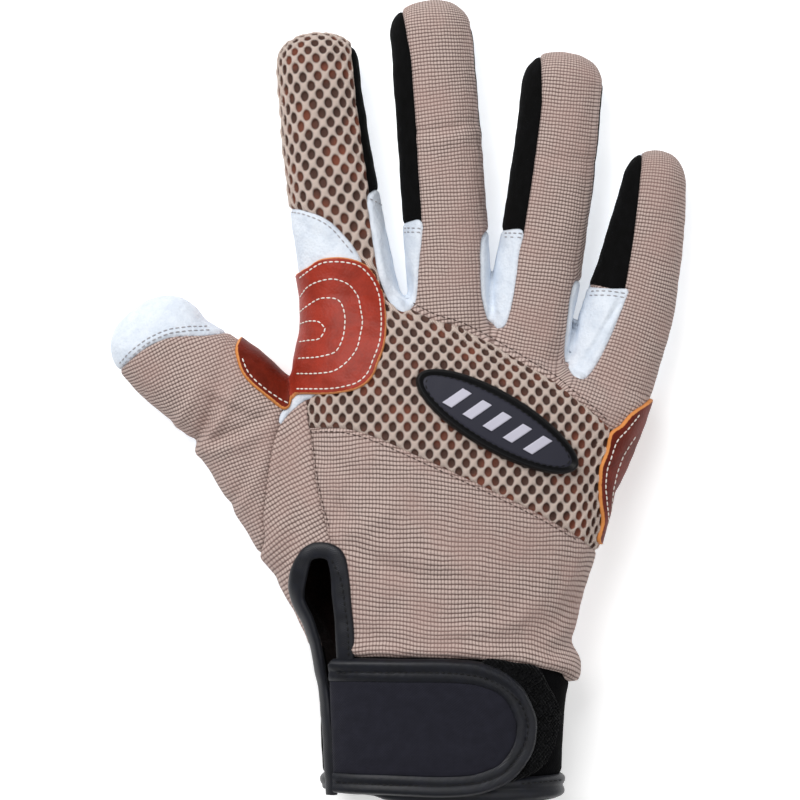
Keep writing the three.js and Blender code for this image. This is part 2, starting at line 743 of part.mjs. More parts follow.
// Looks of the materials, as they are in the photograph.
const looks = {
  woven: { color: 0xb7998a, roughness: 0.9 },
  mesh: { color: 0xc4a594, roughness: 0.9 },
  whiteLeather: { color: 0xdfe4ec, roughness: 0.6 },
  brownLeather: { color: 0x9c3e2b, roughness: 0.5 },
  stretch: { color: 0x121212, roughness: 0.85 },
  rubber: { color: 0x26262b, roughness: 0.55 },
  webbing: { color: 0x17171b, roughness: 0.75 },
  binding: { color: 0x1c1e26, roughness: 0.5 },
  loops: { color: 0x0d0d0f, roughness: 1 },
};
const lookOf = {
  mesh_index_and_knuckles: "mesh",
  woven_three_fingers: "woven",
  woven_hand_back: "woven",
  woven_gusset: "woven",
  woven_thumb_back: "woven",
  thumb_cap: "whiteLeather",
  palm_leather: "whiteLeather",
  index_side_leather: "whiteLeather",
  crotch_index_middle: "whiteLeather",
  crotch_middle_ring: "whiteLeather",
  crotch_ring_little: "whiteLeather",
  index_side_strip: "stretch",
  middle_thumbward_strip: "stretch",
  middle_outward_strip: "stretch",
  ring_thumbward_strip: "stretch",
  ring_outward_strip: "stretch",
  little_side_strip: "stretch",
  patch_index: "brownLeather",
  patch_thumb: "brownLeather",
  patch_outer_edge: "brownLeather",
  badge: "rubber",
  cuff_band: "webbing",
  cuff_hem: "binding",
  slit_binding: "binding",
  strap_panel: "webbing",
  strap_binding: "binding",
  loop_patch: "loops",
};

const group = new THREE.Group();
group.name = "climbing_glove";
for (const [name, manifold] of Object.entries(made)) {
  const material = new THREE.MeshStandardMaterial({ ...looks[lookOf[name]], metalness: 0 });
  const mesh = new THREE.Mesh(geometryOf(manifold), material);
  mesh.name = name;
  group.add(mesh);
}

// The origin is the middle of the glove's outline, on the surface that it lies on.
const middle = new THREE.Box3().setFromObject(group).getCenter(new THREE.Vector3());
group.position.set(-middle.x, -middle.y, 0);

export default group;
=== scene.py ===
import math

import bpy
import numpy as np
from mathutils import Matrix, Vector


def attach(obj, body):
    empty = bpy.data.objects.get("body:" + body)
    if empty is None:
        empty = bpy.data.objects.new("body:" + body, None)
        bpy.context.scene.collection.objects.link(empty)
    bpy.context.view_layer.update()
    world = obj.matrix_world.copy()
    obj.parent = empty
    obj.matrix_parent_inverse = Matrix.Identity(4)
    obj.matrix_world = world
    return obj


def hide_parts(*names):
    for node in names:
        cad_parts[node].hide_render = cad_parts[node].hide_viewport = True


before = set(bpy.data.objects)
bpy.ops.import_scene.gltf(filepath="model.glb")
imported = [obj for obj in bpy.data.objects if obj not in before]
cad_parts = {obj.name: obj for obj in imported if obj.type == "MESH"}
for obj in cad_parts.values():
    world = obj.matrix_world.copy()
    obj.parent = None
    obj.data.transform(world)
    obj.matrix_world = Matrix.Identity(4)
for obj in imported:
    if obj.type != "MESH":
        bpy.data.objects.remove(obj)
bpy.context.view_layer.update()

# The glove's form
# The empty glove lies on its palm and keeps the form of a hand. Every panel is cut from this one smooth
# closed form: a flat oval hand with five rounded fingers blended into it. Sizes are in millimetres in the
# glove's own plan.
HAND_LENGTH = 147.0
HEM = 125.0
PALM_WIDTH = 107.0
HAND_THICKNESS = 35.5
PRESS = 2.4
SQUARENESS = 2.35
FINGER_TIP = 11.0
THUMB_TIP = 15.0
WEB_ROUND = 1.2
ROOT_ROUND = 4.0
THUMB_ROOT_ROUND = 6.0
LYING_EDGE_ROUND = 1.2
FINGER_REACH = 26.0
FAR = 30.0
STEP = 1.0


def spline(points, steps=8, closed=False):
    """A smooth line through plan points."""
    p = np.asarray(points, float)
    n = len(p)
    out = []
    spans = n if closed else n - 1
    for i in range(spans):
        if closed:
            a, b, c, d = p[(i - 1) % n], p[i], p[(i + 1) % n], p[(i + 2) % n]
        else:
            a, b, c, d = p[max(i - 1, 0)], p[i], p[i + 1], p[min(i + 2, n - 1)]
        for k in range(steps):
            t = k / steps
            out.append(
                0.5
                * (2 * b + (c - a) * t + (2 * a - 5 * b + 4 * c - d) * t**2 + (3 * b - a - 3 * c + d) * t**3)
            )
    if not closed:
        out.append(p[-1])
    return np.array(out)


# Each row is along, centre, width, top and lean, as shares of the hand's length, width and thickness.
HAND_ROWS = np.array(
    [
        (-0.06, 0.124, 0.7, 0.87, 0),
        (0.0, 0.124, 0.7, 0.87, 0),
        (0.136, 0.122, 0.715, 0.88, 0),
        (0.238, 0.128, 0.73, 0.9, 0),
        (0.292, 0.138, 0.777, 0.94, 0),
        (0.354, 0.118, 0.765, 0.945, 0),
        (0.469, 0.12, 0.86, 0.965, 0),
        (0.605, 0.135, 0.925, 0.99, 0),
        (0.728, 0.158, 0.95, 1.0, -0.03),
        (0.837, 0.186, 0.985, 0.985, -0.14),
        (0.918, 0.203, 0.99, 0.9, -0.28),
        (0.972, 0.216, 0.93, 0.74, -0.37),
        (1.0, 0.232, 0.82, 0.5, -0.4),
    ]
)
ROW_STEPS = 10
smooth_rows = spline(HAND_ROWS, ROW_STEPS)


def hand_column(number, along):
    """One column of the hand's rows at a place along the hand."""
    return np.interp(along, smooth_rows[:, 0], smooth_rows[:, number])


def on_hand(across, along):
    """A plan point from its share across the hand, where the sides are -1 and 1, and along it."""
    reach = across * hand_column(2, along) * PALM_WIDTH / 2
    lean = hand_column(4, along)
    return np.array(
        [hand_column(1, along) * PALM_WIDTH + reach, along * HAND_LENGTH - HEM + lean * reach]
    )


def finger_line(across, along, length, splay, bow, widths, thicknesses):
    """Centreline, tangents and half sizes of a finger that bends a little sideways."""
    root = on_hand(across, along)
    turn = math.radians(splay)
    ahead = np.array([math.sin(turn), math.cos(turn)])
    tip = root + ahead * length
    middle = (root + tip) / 2 + 2 * bow * np.array([ahead[1], -ahead[0]])
    t = np.linspace(0, 1, 61)[:, None]
    points = (1 - t) ** 2 * root + 2 * t * (1 - t) * middle + t**2 * tip
    shares = t[:, 0]
    width = np.interp(shares, np.linspace(0, 1, len(widths)), widths)
    thickness = np.interp(shares, [0, 1], thicknesses)
    return make_line(points, width, thickness)


def make_line(points, width, thickness, tip_round=FINGER_TIP):
    """A finger's centreline with its directions, lengths and sizes, and how long its rounded tip is."""
    tangents = np.gradient(points, axis=0)
    tangents /= np.linalg.norm(tangents, axis=1)[:, None]
    lengths = np.r_[0, np.cumsum(np.linalg.norm(np.diff(points, axis=0), axis=1))]
    return {
        "points": points,
        "tangents": tangents,
        "along": lengths,
        "length": lengths[-1],
        "width": width,
        "thickness": thickness,
        "tip_round": tip_round,
    }


# Each row is the root's place across and along the hand, then the length, the splay in degrees, the
# sideways bow, the widths from root to tip, and the thicknesses at root and tip.
FINGER_ROWS = {
    "index": (-0.57, 0.864, 108.8, -9.0, -2.1, (31.5, 28.6, 25.0), (24, 18)),
    "middle": (-0.064, 0.85, 125.0, -3.7, 0.9, (27.2, 26.4, 25.7), (25, 18)),
    "ring": (0.273, 0.823, 116.2, 8.9, 2.1, (29, 26.8, 25.0), (24, 17.5)),
    "little": (0.732, 0.755, 97.6, 15.3, 4.2, (31.5, 28.6, 18.4), (22, 16)),
}
FINGERS = {name: finger_line(*row) for name, row in FINGER_ROWS.items()}
THUMB_LENGTH = 118.0
THUMB_WIDTH = 36.0
THUMB_THICKNESS = 26.0
THUMB_ROOT = on_hand(-0.76, 0.36)
# Each row is across, along, width and thickness, as shares of the thumb's sizes.
THUMB_ROWS = spline(
    [
        (0, 0, 0.46, 1.1),
        (-0.058, 0.161, 0.72, 1.1),
        (-0.134, 0.347, 0.93, 1.06),
        (-0.22, 0.509, 1.0, 1.0),
        (-0.276, 0.589, 0.97, 0.96),
        (-0.345, 0.653, 0.92, 0.92),
        (-0.452, 0.735, 0.87, 0.85),
        (-0.542, 0.858, 0.9, 0.76),
    ],
    ROW_STEPS,
)
FINGERS["thumb"] = make_line(
    THUMB_ROOT + THUMB_ROWS[:, :2] * THUMB_LENGTH,
    THUMB_ROWS[:, 2] * THUMB_WIDTH,
    THUMB_ROWS[:, 3] * THUMB_THICKNESS,
    THUMB_TIP,
)


def finger_place(line, p):
    """How far across and along a finger each point lies, with the finger's width and thickness there."""
    near = np.zeros(len(p), int)
    for start in range(0, len(p), 20000):
        part = slice(start, start + 20000)
        gap = p[part, None, :2] - line["points"][None]
        near[part] = np.argmin((gap**2).sum(2), axis=1)
    tangent = line["tangents"][near]
    gap = p[:, :2] - line["points"][near]
    along = line["along"][near] + (gap * tangent).sum(1)
    across = gap[:, 0] * tangent[:, 1] - gap[:, 1] * tangent[:, 0]
    width = np.interp(along, line["along"], line["width"])
    thickness = np.interp(along, line["along"], line["thickness"])
    return across, along, width, thickness


def radial(q, r):
    """Distance to an oval along the ray from its middle."""
    q = np.maximum(q, 1e-9)
    return r * (1 - q ** (-1 / SQUARENESS))


def finger_field(line, p):
    """Signed distance to one finger, a squarish oval all along with rounded ends."""
    across, along, width, thickness = finger_place(line, p)
    tip_round = line["tip_round"]
    body_end = line["length"] - tip_round
    beyond = np.maximum(along - body_end, 0)
    before = np.maximum(-along, 0)
    end = beyond + before
    half = (thickness + PRESS) / 2
    high = p[:, 2] - (half - PRESS)
    q = (
        np.abs(across / (width / 2)) ** SQUARENESS
        + np.abs(high / half) ** SQUARENESS
        + np.abs(end / tip_round) ** SQUARENESS
    )
    return radial(q, np.sqrt(across**2 + high**2 + end**2) + 1e-6)


def hand_field(p):
    """Signed distance to the hand without its fingers."""
    x, y, z = p.T
    along = (y + HEM) / HAND_LENGTH
    for _ in range(2):
        reach = x - hand_column(1, along) * PALM_WIDTH
        along = (y - hand_column(4, along) * reach + HEM) / HAND_LENGTH
    reach = x - hand_column(1, along) * PALM_WIDTH
    half_width = hand_column(2, along) * PALM_WIDTH / 2
    half = (hand_column(3, along) * HAND_THICKNESS + PRESS) / 2
    high = z - (half - PRESS)
    q = np.abs(reach / half_width) ** SQUARENESS + np.abs(high / half) ** SQUARENESS
    sides = radial(q, np.sqrt(reach**2 + high**2) + 1e-6)
    return np.maximum(sides, (along - 1) * HAND_LENGTH)


def blend(a, b, k):
    """The smaller of two distances, rounded over k where they meet."""
    h = np.clip(0.5 + 0.5 * (b - a) / k, 0, 1)
    return b * (1 - h) + a * h - k * h * (1 - h)


def glove_field(p):
    """Signed distance to the whole glove, flat where it lies."""
    whole = hand_field(p)
    digits = np.full(len(p), FAR)
    thumb = np.full(len(p), FAR)
    for name, line in FINGERS.items():
        lowest = line["points"].min(0) - FINGER_REACH
        highest = line["points"].max(0) + FINGER_REACH
        near = ((p[:, :2] > lowest) & (p[:, :2] < highest)).all(1)
        if near.any():
            one = np.full(len(p), FAR)
            one[near] = finger_field(line, p[near])
            if name == "thumb":
                thumb = one
            else:
                digits = blend(digits, one, WEB_ROUND)
    whole = blend(blend(whole, digits, ROOT_ROUND), thumb, THUMB_ROOT_ROUND)
    return -blend(-whole, p[:, 2], LYING_EDGE_ROUND)


def gradient(p, step=0.2):
    """Direction in which the distance grows, which is out of the glove."""
    g = np.zeros_like(p)
    for axis in range(3):
        shift = np.zeros(3)
        shift[axis] = step
        g[:, axis] = (glove_field(p + shift) - glove_field(p - shift)) / (2 * step)
    return g


def settle(p, times=3):
    """Moves points onto the glove's surface."""
    for _ in range(times):
        g = gradient(p)
        p = p - g * (glove_field(p) / np.maximum((g**2).sum(1), 0.05))[:, None]
    return p


def surface_net(lowest, highest, step):
    """The glove's surface as triangles of about one step."""
    axes = [np.arange(lowest[i], highest[i] + step, step) for i in range(3)]
    grid = np.stack(np.meshgrid(*axes, indexing="ij"), -1)
    shape = grid.shape[:3]
    values = glove_field(grid.reshape(-1, 3)).reshape(shape)
    inside = values < 0
    corners = [(i, j, k) for i in (0, 1) for j in (0, 1) for k in (0, 1)]
    cells = tuple(n - 1 for n in shape)

    def corner(array, c):
        return array[tuple(slice(c[a], c[a] + cells[a]) for a in range(3))]

    total = sum(corner(inside, c).astype(int) for c in corners)
    active = (total > 0) & (total < 8)
    number = np.full(cells, -1)
    number[active] = np.arange(active.sum())
    sums = np.zeros((active.sum(), 3))
    counts = np.zeros(active.sum())
    for a in corners:
        for axis in range(3):
            if a[axis]:
                continue
            b = tuple(1 if i == axis else a[i] for i in range(3))
            va, vb = corner(values, a)[active], corner(values, b)[active]
            crosses = (va < 0) != (vb < 0)
            t = np.where(crosses, va / np.where(crosses, va - vb, 1), 0)[:, None]
            pa, pb = corner(grid, a)[active], corner(grid, b)[active]
            sums += np.where(crosses[:, None], pa + (pb - pa) * t, 0)
            counts += crosses
    points = sums / counts[:, None]
    quads = []
    for axis in range(3):
        u, v = (axis + 1) % 3, (axis + 2) % 3
        ahead = [slice(None)] * 3
        ahead[axis] = slice(1, None)
        back = [slice(None)] * 3
        back[axis] = slice(None, -1)
        change = inside[tuple(back)] != inside[tuple(ahead)]
        where = np.argwhere(change)
        keep = (where[:, u] > 0) & (where[:, v] > 0)
        keep &= (where[:, u] < shape[u] - 1) & (where[:, v] < shape[v] - 1)
        where = where[keep]
        flip = inside[tuple(where.T)]
        ring = []
        for du, dv in ((-1, -1), (0, -1), (0, 0), (-1, 0)):
            cell = where.copy()
            cell[:, u] += du
            cell[:, v] += dv
            ring.append(number[tuple(cell.T)])
        ring = np.stack(ring, 1)
        ring[~flip] = ring[~flip][:, ::-1]
        quads.append(ring)
    quads = np.concatenate(quads)
    triangles = np.concatenate([quads[:, [0, 1, 2]], quads[:, [0, 2, 3]]])
    return settle(points), triangles


# The box that holds the whole form: the thumb's line has half a thumb's width and some air beside it.
THUMB_SIDE = FINGERS["thumb"]["points"][:, 0].min() - 24
LITTLE_SIDE = 92
FINGER_SIDE = 132
uncut = surface_net((THUMB_SIDE, -HEM - 5, -2.5), (LITTLE_SIDE, FINGER_SIDE, HAND_THICKNESS + 6), STEP)

# Wrist opening and slit
# The form is cut off along the hem, which leaves the glove open at the wrist, and a keyhole slit is cut
# into the back of the wrist on the thumb's side. Places in the photograph are in its pixels, and at() gives
# millimetres.
PHOTO_MM = 0.3125
PHOTO_CENTRE = 399.5
SLIT_FLOOR = 12.0


def at(px, py):
    """A plan point from its place in the photograph, in pixels."""
    return np.array([(px - PHOTO_CENTRE) * PHOTO_MM, (PHOTO_CENTRE - py) * PHOTO_MM])


CUT_MARGIN = 0.02


def used_only(points, triangles):
    """Drops points that no triangle uses."""
    used = np.unique(triangles)
    renumber = np.full(len(points), -1)
    renumber[used] = np.arange(len(used))
    return points[used], renumber[triangles]


def cut(mesh, s):
    """Splits a mesh where s changes sign, and returns the side where s is negative and the other side."""
    points, triangles = mesh
    s = np.where(np.abs(s) < CUT_MARGIN, CUT_MARGIN, s)
    negative = s[triangles] < 0
    count = negative.sum(1)
    sides = {True: [triangles[count == 3]], False: [triangles[count == 0]]}
    edges = np.sort(
        np.concatenate([triangles[:, [0, 1]], triangles[:, [1, 2]], triangles[:, [2, 0]]]), axis=1
    )
    crossing = (s[edges[:, 0]] < 0) != (s[edges[:, 1]] < 0)
    unique = np.unique(edges[crossing], axis=0)
    if len(unique) == 0:
        inside = used_only(points, sides[True][0]) if len(sides[True][0]) else None
        return inside, used_only(points, sides[False][0])
    a, b = unique.T
    t = (s[a] / (s[a] - s[b]))[:, None]
    extra = points[a] + (points[b] - points[a]) * t
    keys = a.astype(np.int64) * len(points) + b

    def between(i, j):
        low_end, high_end = np.minimum(i, j), np.maximum(i, j)
        return len(points) + np.searchsorted(keys, low_end.astype(np.int64) * len(points) + high_end)

    for lone_side, n in ((True, 1), (False, 2)):
        chosen = triangles[count == n]
        lone = (negative[count == n] == lone_side).argmax(1)
        rows = np.arange(len(chosen))
        i, j, k = (chosen[rows, (lone + m) % 3] for m in range(3))
        ij, ik = between(i, j), between(i, k)
        sides[lone_side].append(np.stack([i, ij, ik], 1))
        sides[not lone_side].append(np.stack([ij, j, k], 1))
        sides[not lone_side].append(np.stack([ij, k, ik], 1))
    everything = np.concatenate([points, extra])
    return tuple(used_only(everything, np.concatenate(sides[side])) for side in (True, False))


def polygon_distance(p, outline):
    """Signed plan distance to a closed outline, negative inside it."""
    a = outline
    b = np.roll(outline, -1, axis=0)
    result = np.zeros(len(p))
    for start in range(0, len(p), 8000):
        q = p[start : start + 8000, None, :2]
        ab = (b - a)[None]
        t = np.clip(((q - a[None]) * ab).sum(2) / np.maximum((ab**2).sum(2), 1e-9), 0, 1)
        nearest = np.sqrt(((q - a[None] - ab * t[..., None]) ** 2).sum(2)).min(1)
        x, y = q[:, 0, 0][:, None], q[:, 0, 1][:, None]
        spans = (a[:, 1] > y) != (b[:, 1] > y)
        rise = np.where(b[:, 1] == a[:, 1], 1e-9, b[:, 1] - a[:, 1])
        hit = spans & (x < (b[:, 0] - a[:, 0]) * (y - a[:, 1]) / rise + a[:, 0])
        within = hit.sum(1) % 2 == 1
        result[start : start + 8000] = np.where(within, -nearest, nearest)
    return result


HEM_LINE = (
    (300, 785), (345, 787), (374, 789), (384, 793), (396, 796), (411, 798), (457, 799), (518, 797),
    (559, 794), (600, 791),
)
SLIT_LINE = (
    (332, 790), (331, 765), (330, 742), (328, 716), (325, 690), (321, 665), (318, 648), (313, 630),
    (306, 612), (299, 596), (298, 582), (301, 567), (308, 552), (321, 547), (335, 552), (340, 569),
    (342, 593), (345, 622), (346, 651), (347, 676),
)
hem_edge = np.array([at(x, y) for x, y in HEM_LINE])
slit_path = spline([at(x, y) for x, y in SLIT_LINE])
slit_region = np.concatenate([slit_path, [at(352, 830), at(330, 830)]])
hem_gap = np.interp(uncut[0][:, 0], hem_edge[:, 0], hem_edge[:, 1]) - uncut[0][:, 1]
full, _ = cut(uncut, hem_gap)
slit_gap = np.maximum(polygon_distance(full[0], slit_region), SLIT_FLOOR - full[0][:, 2])
_, body = cut(full, slit_gap)

# Thumb cap, palm and finger crotches
# Soft white leather, a millimetre thick: a cap over the thumb's tip, the whole palm side, and a folded
# piece at the foot of each gap between two fingers. The edges are turned down into the seams and sewn.
MM = 0.001
PLAN_ZERO = np.array([1.03, -0.54, 0.0])
PALM_SEAM = 6.5


def seam(*pixels):
    """A smooth seam line through places in the photograph."""
    return spline([at(x, y) for x, y in pixels])


cap_seam = seam(
    (100, 388), (117, 372), (133, 358), (150, 346), (169, 338), (187, 335), (208, 334), (220, 332), (240, 330)
)
cuff_seam = seam(
    (250, 640), (311, 645), (354, 652), (380, 652), (457, 653), (487, 655), (510, 658), (533, 662),
    (548, 666), (561, 671), (569, 680), (600, 690),
)
FAR_LEFT, FAR_RIGHT, FAR_UP, FAR_DOWN = -200.0, 200.0, 260.0, -260.0


def fingerward(line):
    """The side of a seam across the hand that has the fingers, as an outline."""
    start, end = line[0][1], line[-1][1]
    return np.concatenate(
        [line, [(FAR_RIGHT, end), (FAR_RIGHT, FAR_UP), (FAR_LEFT, FAR_UP), (FAR_LEFT, start)]]
    )


def ring(*pixels, steps=6):
    """A smooth closed outline through places in the photograph."""
    return spline([at(x, y) for x, y in pixels], steps, closed=True)


CROTCHES = {
    "crotch_index_middle": ring(
        (408, 309), (401, 309), (392, 302), (385, 290), (379, 273), (375, 249), (371, 222), (369, 196),
        (383, 190), (395, 222), (404, 222), (420, 223), (417, 262), (414, 296), (412, 305),
    ),
    "crotch_middle_ring": ring(
        (497, 328), (490, 322), (484, 304), (481, 275), (482, 240), (492, 228), (503, 229), (521, 231),
        (517, 253), (514, 278), (510, 302), (504, 323),
    ),
    "crotch_ring_little": ring(
        (584, 376), (576, 376), (568, 366), (565, 350), (568, 318), (575, 282), (590, 286), (610, 288),
        (626, 289), (624, 299), (611, 331), (600, 354), (591, 369),
    ),
}
# Each row is a place in the photograph, the fold's direction in degrees, half length, half width and height
# in mm.
FOLDS = [
    (207, 420, 62, 10, 1.8, -2.3), (220, 424, 58, 10, 1.8, 1.7), (192, 404, 60, 9, 2.0, 1.2),
    (234, 432, 22, 12, 1.7, -1.5), (236, 444, 20, 12, 2.0, 1.2), (222, 396, -28, 10, 1.8, 1.0),
    (240, 412, -24, 9, 1.6, -1.1), (262, 470, 68, 12, 2.2, 0.9), (240, 490, 58, 10, 2.0, -0.8),
    (385, 562, -25, 16, 2.4, -0.8), (398, 548, -25, 18, 3.0, 0.7), (350, 515, -38, 12, 2.4, -0.6),
    (440, 131, 8, 9, 1.3, -0.9), (446, 142, 8, 9, 1.8, 0.7), (561, 160, -8, 8, 1.4, -0.7),
    (436, 228, 4, 8, 1.6, -0.35), (550, 262, -12, 8, 1.6, -0.4), (648, 262, -18, 7, 1.4, -0.45),
    (322, 118, 10, 8, 1.8, -0.4), (316, 66, 6, 8, 1.8, -0.3), (660, 222, -14, 7, 1.5, -0.3),
    (352, 470, -20, 12, 3.0, -0.7), (370, 520, 30, 12, 3.0, 0.8), (340, 505, 60, 8, 2.4, -0.7),
    (572, 595, 60, 12, 3.0, -1.1), (560, 630, 35, 12, 3.4, 0.9), (545, 648, 18, 12, 3.0, -0.6),
    (530, 600, 50, 12, 3.0, 0.8), (480, 625, 8, 16, 2.5, 0.8), (420, 630, -4, 16, 2.5, 0.7),
    (455, 560, -28, 18, 4.0, 0.6), (500, 560, -40, 14, 4.0, -0.6), (395, 600, 70, 12, 3.0, -0.5),
    (285, 560, 62, 12, 2.0, -0.7), (275, 540, 60, 12, 2.0, 0.6), (392, 298, -62, 6, 1.0, -0.7),
    (408, 290, 84, 7, 1.0, -0.7), (590, 350, 58, 9, 1.2, -0.8), (600, 325, 62, 8, 1.0, 0.6),
    (490, 300, -80, 7, 1.0, -0.6), (506, 296, 80, 7, 1.0, -0.6), (381, 262, -80, 9, 1.0, 0.5),
    (612, 312, 60, 8, 0.9, -0.6), (574, 330, 84, 8, 0.9, -0.6), (602, 296, 5, 6, 0.8, -0.4),
    (320, 238, -30, 8, 1.6, -0.4), (143, 318, 40, 7, 1.4, -0.35), (178, 312, -20, 7, 1.4, -0.3),
    (150, 322, 30, 8, 1.6, 0.3), (620, 500, 80, 9, 1.6, -0.4), (575, 560, 70, 9, 2.0, 0.5),
]


def folds(p):
    """Height of the cloth's folds at each point."""
    height = np.zeros(len(p))
    for px, py, turn, length, width, rise in FOLDS:
        gap = p[:, :2] - at(px, py)
        a = math.radians(turn)
        along = gap[:, 0] * math.cos(a) + gap[:, 1] * math.sin(a)
        across = -gap[:, 0] * math.sin(a) + gap[:, 1] * math.cos(a) - 0.012 * along**2
        height += rise * np.exp(-((along / length) ** 2) - (across / width) ** 2)
    x, y, z = p.T
    height += 0.16 * np.sin(x * 0.31 + 1.3 * np.sin(y * 0.17)) * np.sin(y * 0.23 + z * 0.2)
    height += 0.08 * np.sin(x * 0.83 + y * 0.37) * np.sin(y * 0.71 - x * 0.29 + 1.0)
    return height * np.clip(z / 4, 0, 1)


def top_of(plan_points, lift=0.0):
    """Places on the glove's upper side over plan points, lifted off it."""
    q = np.asarray(plan_points, float)
    low_end, high_end = np.full(len(q), 7.0), np.full(len(q), 46.0)
    for _ in range(16):
        middle = (low_end + high_end) / 2
        out = glove_field(np.column_stack([q, middle])) > 0
        high_end = np.where(out, middle, high_end)
        low_end = np.where(out, low_end, middle)
    p = np.column_stack([q, (low_end + high_end) / 2])
    n = unit(gradient(p))
    return p + n * (np.asarray(lift) + folds(p))[:, None], n


def unit(v):
    """Vectors of length 1."""
    return v / np.maximum(np.linalg.norm(v, axis=1), 1e-9)[:, None]


def refined(mesh, times):
    """Each triangle becomes four, and the new points go onto the glove."""
    points, triangles = mesh
    for _ in range(times):
        edges = np.sort(
            np.concatenate([triangles[:, [0, 1]], triangles[:, [1, 2]], triangles[:, [2, 0]]]), axis=1
        )
        unique, place = np.unique(edges, axis=0, return_inverse=True)
        place = place.reshape(3, -1).T + len(points)
        points = np.concatenate([points, points[unique].mean(1)])
        a, b, c = triangles.T
        ab, bc, ca = place.T
        triangles = np.concatenate(
            [
                np.stack([a, ab, ca], 1),
                np.stack([ab, b, bc], 1),
                np.stack([ca, bc, c], 1),
                np.stack([ab, bc, ca], 1),
            ]
        )
    return (settle(points, 1) if times else points), triangles


def border(triangles):
    """Directed edges that only one triangle has."""
    edges = np.concatenate([triangles[:, [0, 1]], triangles[:, [1, 2]], triangles[:, [2, 0]]])
    key = edges.max() + 1
    forward = edges[:, 0].astype(np.int64) * key + edges[:, 1]
    backward = edges[:, 1].astype(np.int64) * key + edges[:, 0]
    return edges[~np.isin(forward, backward)]


def edge_distance(points, edges, reach=8.0):
    """Distance from each point to the nearest border point, up to reach."""
    rim = points[np.unique(edges)]
    result = np.full(len(points), reach)
    for start in range(0, len(points), 3000):
        part = points[start : start + 3000]
        low_end, high_end = part.min(0) - reach, part.max(0) + reach
        near = rim[((rim > low_end) & (rim < high_end)).all(1)]
        if len(near):
            gap = ((part[:, None] - near[None]) ** 2).sum(2)
            result[start : start + 3000] = np.minimum(np.sqrt(gap.min(1)), reach)
    return result


def make_object(name, points, faces, materials, face_slots=None, uv=None, border_mm=None):
    """A mesh object from plan points in millimetres, at the origin of the frame."""
    mesh = bpy.data.meshes.new(name)
    mesh.from_pydata(((points + PLAN_ZERO) * MM).tolist(), [], [list(f) for f in faces])
    for material in materials:
        mesh.materials.append(material)
    if face_slots is not None:
        mesh.polygons.foreach_set("material_index", np.asarray(face_slots, np.int32))
    if border_mm is not None:
        mesh.attributes.new("border_mm", "FLOAT", "POINT").data.foreach_set("value", border_mm)
    if uv is not None:
        layer = mesh.uv_layers.new(name="cloth_mm")
        corners = np.zeros(len(mesh.loops), np.int32)
        mesh.loops.foreach_get("vertex_index", corners)
        layer.data.foreach_set("uv", uv[corners].astype(np.float32).ravel())
    mesh.polygons.foreach_set("use_smooth", np.ones(len(mesh.polygons), bool))
    mesh.update()
    made = bpy.data.objects.new(name, mesh)
    bpy.context.scene.collection.objects.link(made)
    return made


def finish_piece(made, nodes):
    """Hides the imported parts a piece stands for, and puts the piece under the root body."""
    if nodes:
        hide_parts(*nodes)
    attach(made, "root")
    return made


def cloth_piece(
    name, mesh, material, uv, lift=0.0, thickness=1.2, roll=0.8, roll_width=1.5, shape=None, fine=0,
    lining=None, creases=1.0, replaces=True,
):
    """A piece of cloth or leather on the glove's form, with its edges rolled down into the seam."""
    points, triangles = refined(mesh, fine)
    n = unit(gradient(points))
    rim = border(triangles)
    d = edge_distance(points, rim)
    height = lift + creases * folds(points) - roll * (1 - np.minimum(d / roll_width, 1)) ** 2
    coordinates = uv(points, n)
    if shape is not None:
        height = height + shape(points, n, d, coordinates)
    outer = points + n * height[:, None]
    inner = points + n * (height.clip(None, lift + 0.6) - thickness)[:, None]
    outer[:, 2] = np.maximum(outer[:, 2], 0.0)
    inner[:, 2] = np.maximum(inner[:, 2], 0.35)
    count = len(points)
    sides = np.concatenate(
        [
            np.stack([rim[:, 1], rim[:, 0], rim[:, 0] + count], 1),
            np.stack([rim[:, 1], rim[:, 0] + count, rim[:, 1] + count], 1),
        ]
    )
    faces = np.concatenate([triangles, triangles[:, ::-1] + count, sides])
    slots = np.concatenate(
        [np.zeros(len(triangles)), np.ones(len(triangles)), np.zeros(len(sides))]
    )
    made = make_object(
        name + "_sewn",
        np.concatenate([outer, inner]),
        faces,
        [material, lining or lining_dark],
        slots,
        np.concatenate([coordinates, coordinates]),
        np.concatenate([d, np.zeros(count)]).astype(np.float32),
    )
    return finish_piece(made, [name] if replaces else [])


# How far the sides are unrolled into the cloth's own coordinates, by how far they have turned away from
# above.
UNROLL = 0.6
# From these heights down the sides count as unrolled, on the hand and on the fingers.
HAND_TOP = 33.0
FINGER_TOP = 20.0


def unrolled(p, n, height):
    """Plan places, with what lies on the sides moved out as if the cloth were laid flat."""
    return p[:, :2] + n[:, :2] * (UNROLL * np.maximum(height - p[:, 2], 0))[:, None]


def waved(x, y):
    """How far the ribs wander from straight."""
    return 0.4 * np.sin(x * 0.13 + y * 0.09) + 0.25 * np.sin(x * 0.29 - y * 0.19 + 1) * np.sin(y * 0.11)


# Where the hand back's ribs are pulled up or down. Each row is a place in the photograph, two reaches and a
# pull.
PULLS = [(335, 525, 22, 18, -2.6), (585, 665, 22, 18, 3.0), (480, 590, 26, 16, 0.9), (590, 560, 18, 20, -1.2)]


def hand_uv(p, n):
    """Cloth whose ribs lie across the hand, bowed and pulled as in the photograph."""
    q = unrolled(p, n * (1, 0, 0), np.full(len(p), HAND_TOP))
    v = q[:, 1] + 0.0012 * (q[:, 0] - 8) ** 2 + 0.035 * q[:, 0] + 1.4 * waved(q[:, 0], q[:, 1])
    for px, py, wide, tall, pull in PULLS:
        middle = at(px, py)
        v += pull * np.exp(-(((p[:, 0] - middle[0]) / wide) ** 2) - ((p[:, 1] - middle[1]) / tall) ** 2)
    return np.column_stack([q[:, 0], v])


